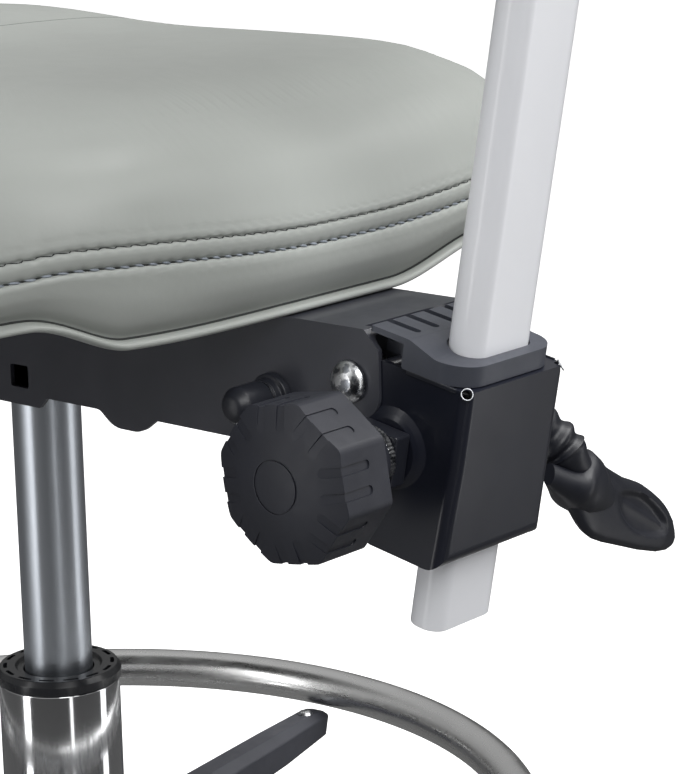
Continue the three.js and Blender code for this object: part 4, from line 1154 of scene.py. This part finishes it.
def seat_shape(count):
    """The cushion's surface as rows of points from the rim to the crown, before its seams are sewn."""
    outline, normals, around = seat_outline(count)
    rows = [np.c_[outline - normals * inset, np.full(count, z)] for inset, z in SEAT_SECTION]
    last, crown, middle = rows[-1][:, :2], SEAT_SECTION[-1][1], np.array(SEAT_MID)
    for t in (0.88, 0.74, 0.58, 0.42, 0.26, 0.08):
        rows.append(np.c_[middle + (last - middle) * t, np.full(count, crown + 4.4 * (1 - t ** 3))])
    grid = np.array(rows)
    x, y, z = grid[..., 0], grid[..., 1], grid[..., 2]
    upper = smoothstep(z, 205, 250)
    # The seams climb a little towards the sides; the seat dips behind the middle and drops at the front.
    climb = 4.2 * smoothstep(np.abs(x), 15, 115) - 5.0 * smoothstep(np.abs(x), 120, 155)
    climb = climb * smoothstep(z, 186, 200) * (1 - smoothstep(z, 216, 244))
    wave = rim_wave(x) * (1 - smoothstep(z, 182, 205))
    dip = -3.0 * np.exp(-((x / 95) ** 2 + ((y - 40) / 80) ** 2))
    swell = 3.0 * np.exp(-((y + 120) / 60) ** 2)
    nose = -12.0 * smoothstep(-y, 150, 232)
    z = z + wave + climb + upper * (dip + swell + nose)
    return np.stack([x, y, z + RIM], -1), around


def make_seat():
    swell = inflate("seat_mould", seat_shape(160)[0], lambda p: p[2] < RIM + 190)
    count = 1320
    grid, around = seat_shape(count)
    along = section_lengths(grid)
    heights = [z for _, z in SEAT_SECTION]
    crease, low_spot, high_spot = (along[heights.index(z)] for z in (CREASE, SEAM_LOW, SEAM_HIGH))
    wanted = np.r_[np.linspace(0, low_spot - 4, 48), np.linspace(low_spot - 3.6, high_spot + 6, 56),
                   np.linspace(high_spot + 8, high_spot + 60, 24), np.linspace(high_spot + 66, along[-1], 22)]
    level = np.repeat(wanted, count)
    free = smoothstep(level, crease, low_spot)
    sewn = 1 - 0.75 * np.exp(-((level - (low_spot + high_spot) / 2) / 9) ** 2)
    cushion, line = upholster("seat_upholstery", refined_rows(grid, along, wanted), wanted, swell,
                              free * sewn, around, ((low_spot, 0.5), (high_spot, 0.55)), 0.6)
    stands_for(cushion, LEATHER, "seat_cushion", "seat_board")
    belongs_to(stitches("seat_topstitch", *line(low_spot)), THREAD, "seat_cushion")
    # Dark cords in the two seams and the rim crease: painted shade for the creases and stitch holes.
    belongs_to(seam_line("seat_stitch_hole_shade", *line(low_spot), 0.34, 0.12, 0.7), SEAM_SHADE_CORD, "seat_cushion")
    belongs_to(seam_line("seat_panel_seam_shade", *line(high_spot), 0.24, 0.0, 0.35, 1.3), SEAM_SHADE_CORD, "seat_cushion")
    belongs_to(seam_line("seat_rim_crease_shade", *line(crease), 0.5, -0.05), SEAM_SHADE_CORD, "seat_cushion")
    # A seam crosses the top of the seat from side to side; its grey cord is painted shade for the seam's crease.
    tree = BVHTree.FromObject(cushion, bpy.context.evaluated_depsgraph_get())
    path = []
    for x in np.linspace(-SEAT_HALF + 14, SEAT_HALF - 14, 160):
        spot = Vector((x, TOP_SEAM + 6 * (x / SEAT_HALF) ** 2, RIM + 320)) * MM
        hit = tree.ray_cast(spot, Vector((0, 0, -1)))[0]
        if hit is not None:
            path.append(tuple(hit / MM - Vector((0, 0, 0.25))))
    cross_seam = swept("seat_cross_seam_shade", path, lambda t: circle(0.4, 10))
    belongs_to(smooth(cross_seam, 0), SEAM_SOFT_SHADE, "seat_cushion")


def make_underside():
    """A black cloth that lies inside the wrapped rim and follows its curve."""
    outline, normals, _ = seat_outline(160)
    rows = []
    for inset, z, follow in ((18.5, 185.0, 1), (17.5, 181.9, 1), (30, 181.7, 0.8), (58, 181.6, 0),
                             (110, 181.6, 0)):
        p = outline - normals * inset
        rows.append(np.c_[p, RIM + z + follow * rim_wave(p[:, 0])])
    cover = closed_grid("seat_underside_cloth", np.array(rows))
    belongs_to(smooth(cover, 40), BLACK_CLOTH_AND_SHADE, "seat_board")


# ------------------------------------------------------------------ backrest

HINGE_U, HINGE_W = -23.5, 268
AT_HINGE = CARRIER_X @ at(HINGE_U, HINGE_W, 0)
BACK_CURVE, BACK_FACE, BACK_MIDDLE = 420.0, -32.5, 275
BACK_OUTLINE = np.array(rounded_rectangle(350, 180, 62, (0, 0), 40))


def backrest_surface(number, section, shrinks, depth):
    """Rows of points over the backrest, wrapped round its curve and put in place.

    The section says (inset, depth in front of the shell); inner rows shrink to the middle."""
    outline = spaced(BACK_OUTLINE, number)[0]
    normals = outline_normals(outline, 2)
    rows = [(outline - normals * inset, -d) for inset, d in section]
    inner = outline - normals * section[-1][0]
    rows += [(inner * t, depth(t)) for t in shrinks]
    return np.array([np.c_[p[:, 0], np.full(number, d), p[:, 1]] for p, d in rows])


def on_backrest(rows):
    """Wraps a flat layout round the backrest's curve."""
    placed = []
    for x, u, w in rows.reshape(-1, 3):
        a, r = x / BACK_CURVE, BACK_CURVE + u
        placed.append(tuple(CARRIER @ Vector((r * math.sin(a), BACK_FACE - BACK_CURVE + r * math.cos(a),
                                              BACK_MIDDLE + w))))
    return np.array(placed).reshape(rows.shape)


def make_backrest_pad():
    # From the back edge, round the side, to the front face.
    section = [(12, 6.6), (8, 6.4), (5.0, 7.4), (3.4, 10), (2.4, 14), (1.8, 17.5), (1.6, 19.4), (1.5, 20.2),
               (1.4, 21), (1.0, 24), (1.2, 28), (3.0, 33), (7.0, 37.5), (13, 41), (22, 43.6),
               (34, 45.4), (50, 46.4)]
    seam, count, inverse = 20.2, 720, CARRIER.inverted()

    def surface(number):
        return backrest_surface(number, section, (0.78, 0.55, 0.32, 0.1), lambda t: -46.4 - 2.2 * (1 - t * t))

    def held(p):
        q = inverse @ Vector(p)
        return math.hypot(q.x, q.y - (BACK_FACE - BACK_CURVE)) - BACK_CURVE > -13

    swell = inflate("backrest_mould", on_backrest(surface(140)), held)
    rows = surface(count)
    along = section_lengths(rows)
    spot = np.interp(seam, [d for _, d in section[1:]], along[1:len(section)])
    wanted = np.r_[np.linspace(0, spot - 5, 12), np.linspace(spot - 4.4, spot + 7, 26),
                   np.linspace(spot + 9, spot + 60, 18), np.linspace(spot + 66, along[-1], 12)]
    level = np.repeat(wanted, count)
    free = smoothstep(level, spot - 8, spot + 4)
    sewn = 1 - 0.7 * np.exp(-((level - spot) / 8) ** 2)
    grid = on_backrest(refined_rows(rows, along, wanted))
    pad, line = upholster("backrest_upholstery", grid, wanted, swell, free * sewn,
                          spaced(BACK_OUTLINE, count)[1], ((spot, 1.1), (spot + 7, 0.5)), 0.5)
    stands_for(pad, LEATHER, "backrest_pad")
    belongs_to(stitches("backrest_topstitch", *line(spot + 7)), THREAD, "backrest_pad")


def hinge_lugs(root, above, below, end, reach, half):
    """A pair of lugs round the hinge pin, from a flat root to a round end."""
    outline = [(root, HINGE_W + above), (root, HINGE_W - below)]
    outline += arc(7, np.linspace(-math.pi / 2, end, 16), HINGE_U, HINGE_W)
    return [prism("lug", outline, side * reach - half, side * reach + half, CARRIER_X) for side in (-1, 1)]


def make_backrest_hinge():
    # The rear shell: a dished cover with a rounded edge.
    back = [(10.5, 6.0), (8.2, 5.2), (7.8, 3.6), (8.6, 1.8), (11.5, 0.5), (16, 0), (30, -0.4), (60, -1.2)]
    rows = backrest_surface(260, back, (0.7, 0.4, 0.1), lambda t: 1.2 + 0.2 * (1 - t))
    shell = join(closed_grid("backrest_cover", on_backrest(rows)),
                 *hinge_lugs(BACK_FACE - 3, 13, 13, math.pi / 2, 21.4, 2.4))
    cut(shell, rod(3.3, -60, 60, AT_HINGE))
    stands_for(smooth(shell, 35), BLACK_PLASTIC, "backrest_shell")
    front = -7.8
    facing = CARRIER @ Matrix(((1, 0, 0, 0), (0, 0, 1, 0), (0, 1, 0, 0), (0, 0, 0, 1)))
    plate = prism("hinge_fork", rounded_rectangle(44, 48, 5, (0, HINGE_W - 10)), front - 4, front, facing)
    join(plate, *hinge_lugs(front - 1, 12, 14, -math.pi * 1.5, 16, 2))
    cut(plate, rod(3.3, -60, 60, AT_HINGE))
    stands_for(edged(plate, 0.5, 2, 40), BLACK_PAINT, "hinge_bracket")
    pin = turned("hinge_pin_bar", [(0, -25), (3, -25, 0.5), (3, 25, 0.5), (0, 25)], AT_HINGE, 32)
    stands_for(smooth(pin, 40), ZINC, "hinge_pin")


# ------------------------------------------------------------------ stage, light and camera

def make_stage():
    white = Shader("studio_white", (0.90, 0.90, 0.90), 0.9, **{"Emission Color": (1, 1, 1, 1),
                                                               "Emission Strength": 0.75})
    reach = 40000
    corners = [(-reach, -reach, -0.5), (reach, -reach, -0.5), (reach, reach, -0.5), (-reach, reach, -0.5)]
    floor = new_piece("studio_floor", corners, [[0, 1, 2, 3]])
    floor.data.materials.append(white.material)
    # The sweep is lit like a paper backdrop; the object is lit by the world's own lower half.
    floor.visible_diffuse = floor.visible_glossy = floor.visible_shadow = False


def area_light(name, place, target, size, power):
    lamp = bpy.data.lights.new(name, "AREA")
    lamp.shape = "RECTANGLE"
    lamp.size, lamp.size_y = size
    lamp.energy = power
    piece = bpy.data.objects.new(name, lamp)
    piece.location = place
    piece.rotation_euler = (Vector(target) - Vector(place)).to_track_quat("-Z", "Y").to_euler()
    bpy.context.scene.collection.objects.link(piece)


def make_light():
    world = bpy.data.worlds.new("studio")
    world.use_nodes = True
    tree = world.node_tree
    place, split, level, ramp = (tree.nodes.new("ShaderNode" + kind)
                                 for kind in ("TexCoord", "SeparateXYZ", "MapRange", "ValToRGB"))
    level.inputs["From Min"].default_value = -1
    tree.links.new(place.outputs["Generated"], split.inputs["Vector"])
    tree.links.new(split.outputs["Z"], level.inputs["Value"])
    tree.links.new(level.outputs["Result"], ramp.inputs["Fac"])
    tree.links.new(ramp.outputs["Color"], tree.nodes["Background"].inputs["Color"])
    greys = [(0.0, 0.20), (0.30, 0.13), (0.44, 0.06), (0.55, 0.07), (0.66, 0.34), (1.0, 0.5)]
    set_stops(ramp.color_ramp, [(height, (grey, grey, grey)) for height, grey in greys])
    bpy.context.scene.world = world
    middle = (0, 0.05, 0.6)
    area_light("front_softbox", (0.85, 2.10, 2.45), middle, (2.0, 1.5), 45)
    area_light("left_strip", (1.75, -0.55, 0.85), (0, 0.05, 0.85), (0.40, 2.4), 11)
    area_light("near_strip", (0.75, 1.75, 0.75), (0, 0.05, 0.75), (0.16, 2.2), 2)
    area_light("right_strip", (-1.10, 1.15, 0.85), (0, 0.05, 0.85), (0.35, 2.4), 5.5)
    area_light("top_softbox", (-0.75, 0.75, 2.25), middle, (1.3, 1.3), 34)
    bpy.context.scene.view_settings.view_transform = "Standard"


def make_camera():
    camera = bpy.data.cameras.new("camera")
    camera.lens = 125.6
    camera.sensor_width = 36
    camera.clip_start = 0.05
    piece = bpy.data.objects.new("camera", camera)
    azimuth, pitch, roll = Vector((-0.7556, -0.6550, 0)), math.radians(13.74), math.radians(-1.23)
    forward = azimuth * math.cos(pitch) - Vector((0, 0, math.sin(pitch)))
    up = azimuth * math.sin(pitch) + Vector((0, 0, math.cos(pitch)))
    right = forward.cross(up).normalized()
    right, up = (right * math.cos(roll) + up * math.sin(roll), up * math.cos(roll) - right * math.sin(roll))
    turn = Matrix((right, up, -forward)).transposed()
    piece.matrix_world = Matrix.Translation((0.7224, 0.7832, RIM * MM + 0.3797)) @ turn.to_4x4()
    bpy.context.scene.collection.objects.link(piece)
    bpy.context.scene.camera = piece


# ------------------------------------------------------------------ the stool

make_column()
make_foot_ring()
make_spider()
make_ring_knob()
make_base()
for castor_number in range(1, 6):
    make_castor(castor_number)
make_channel()
make_pins()
make_height_lever()
make_tilt_lever()
make_bracket()
make_collar()
make_bar()
make_clamp_knob()
make_clamp_hardware()
make_seat()
make_underside()
make_backrest_pad()
make_backrest_hinge()
make_stage()
make_light()
make_camera()
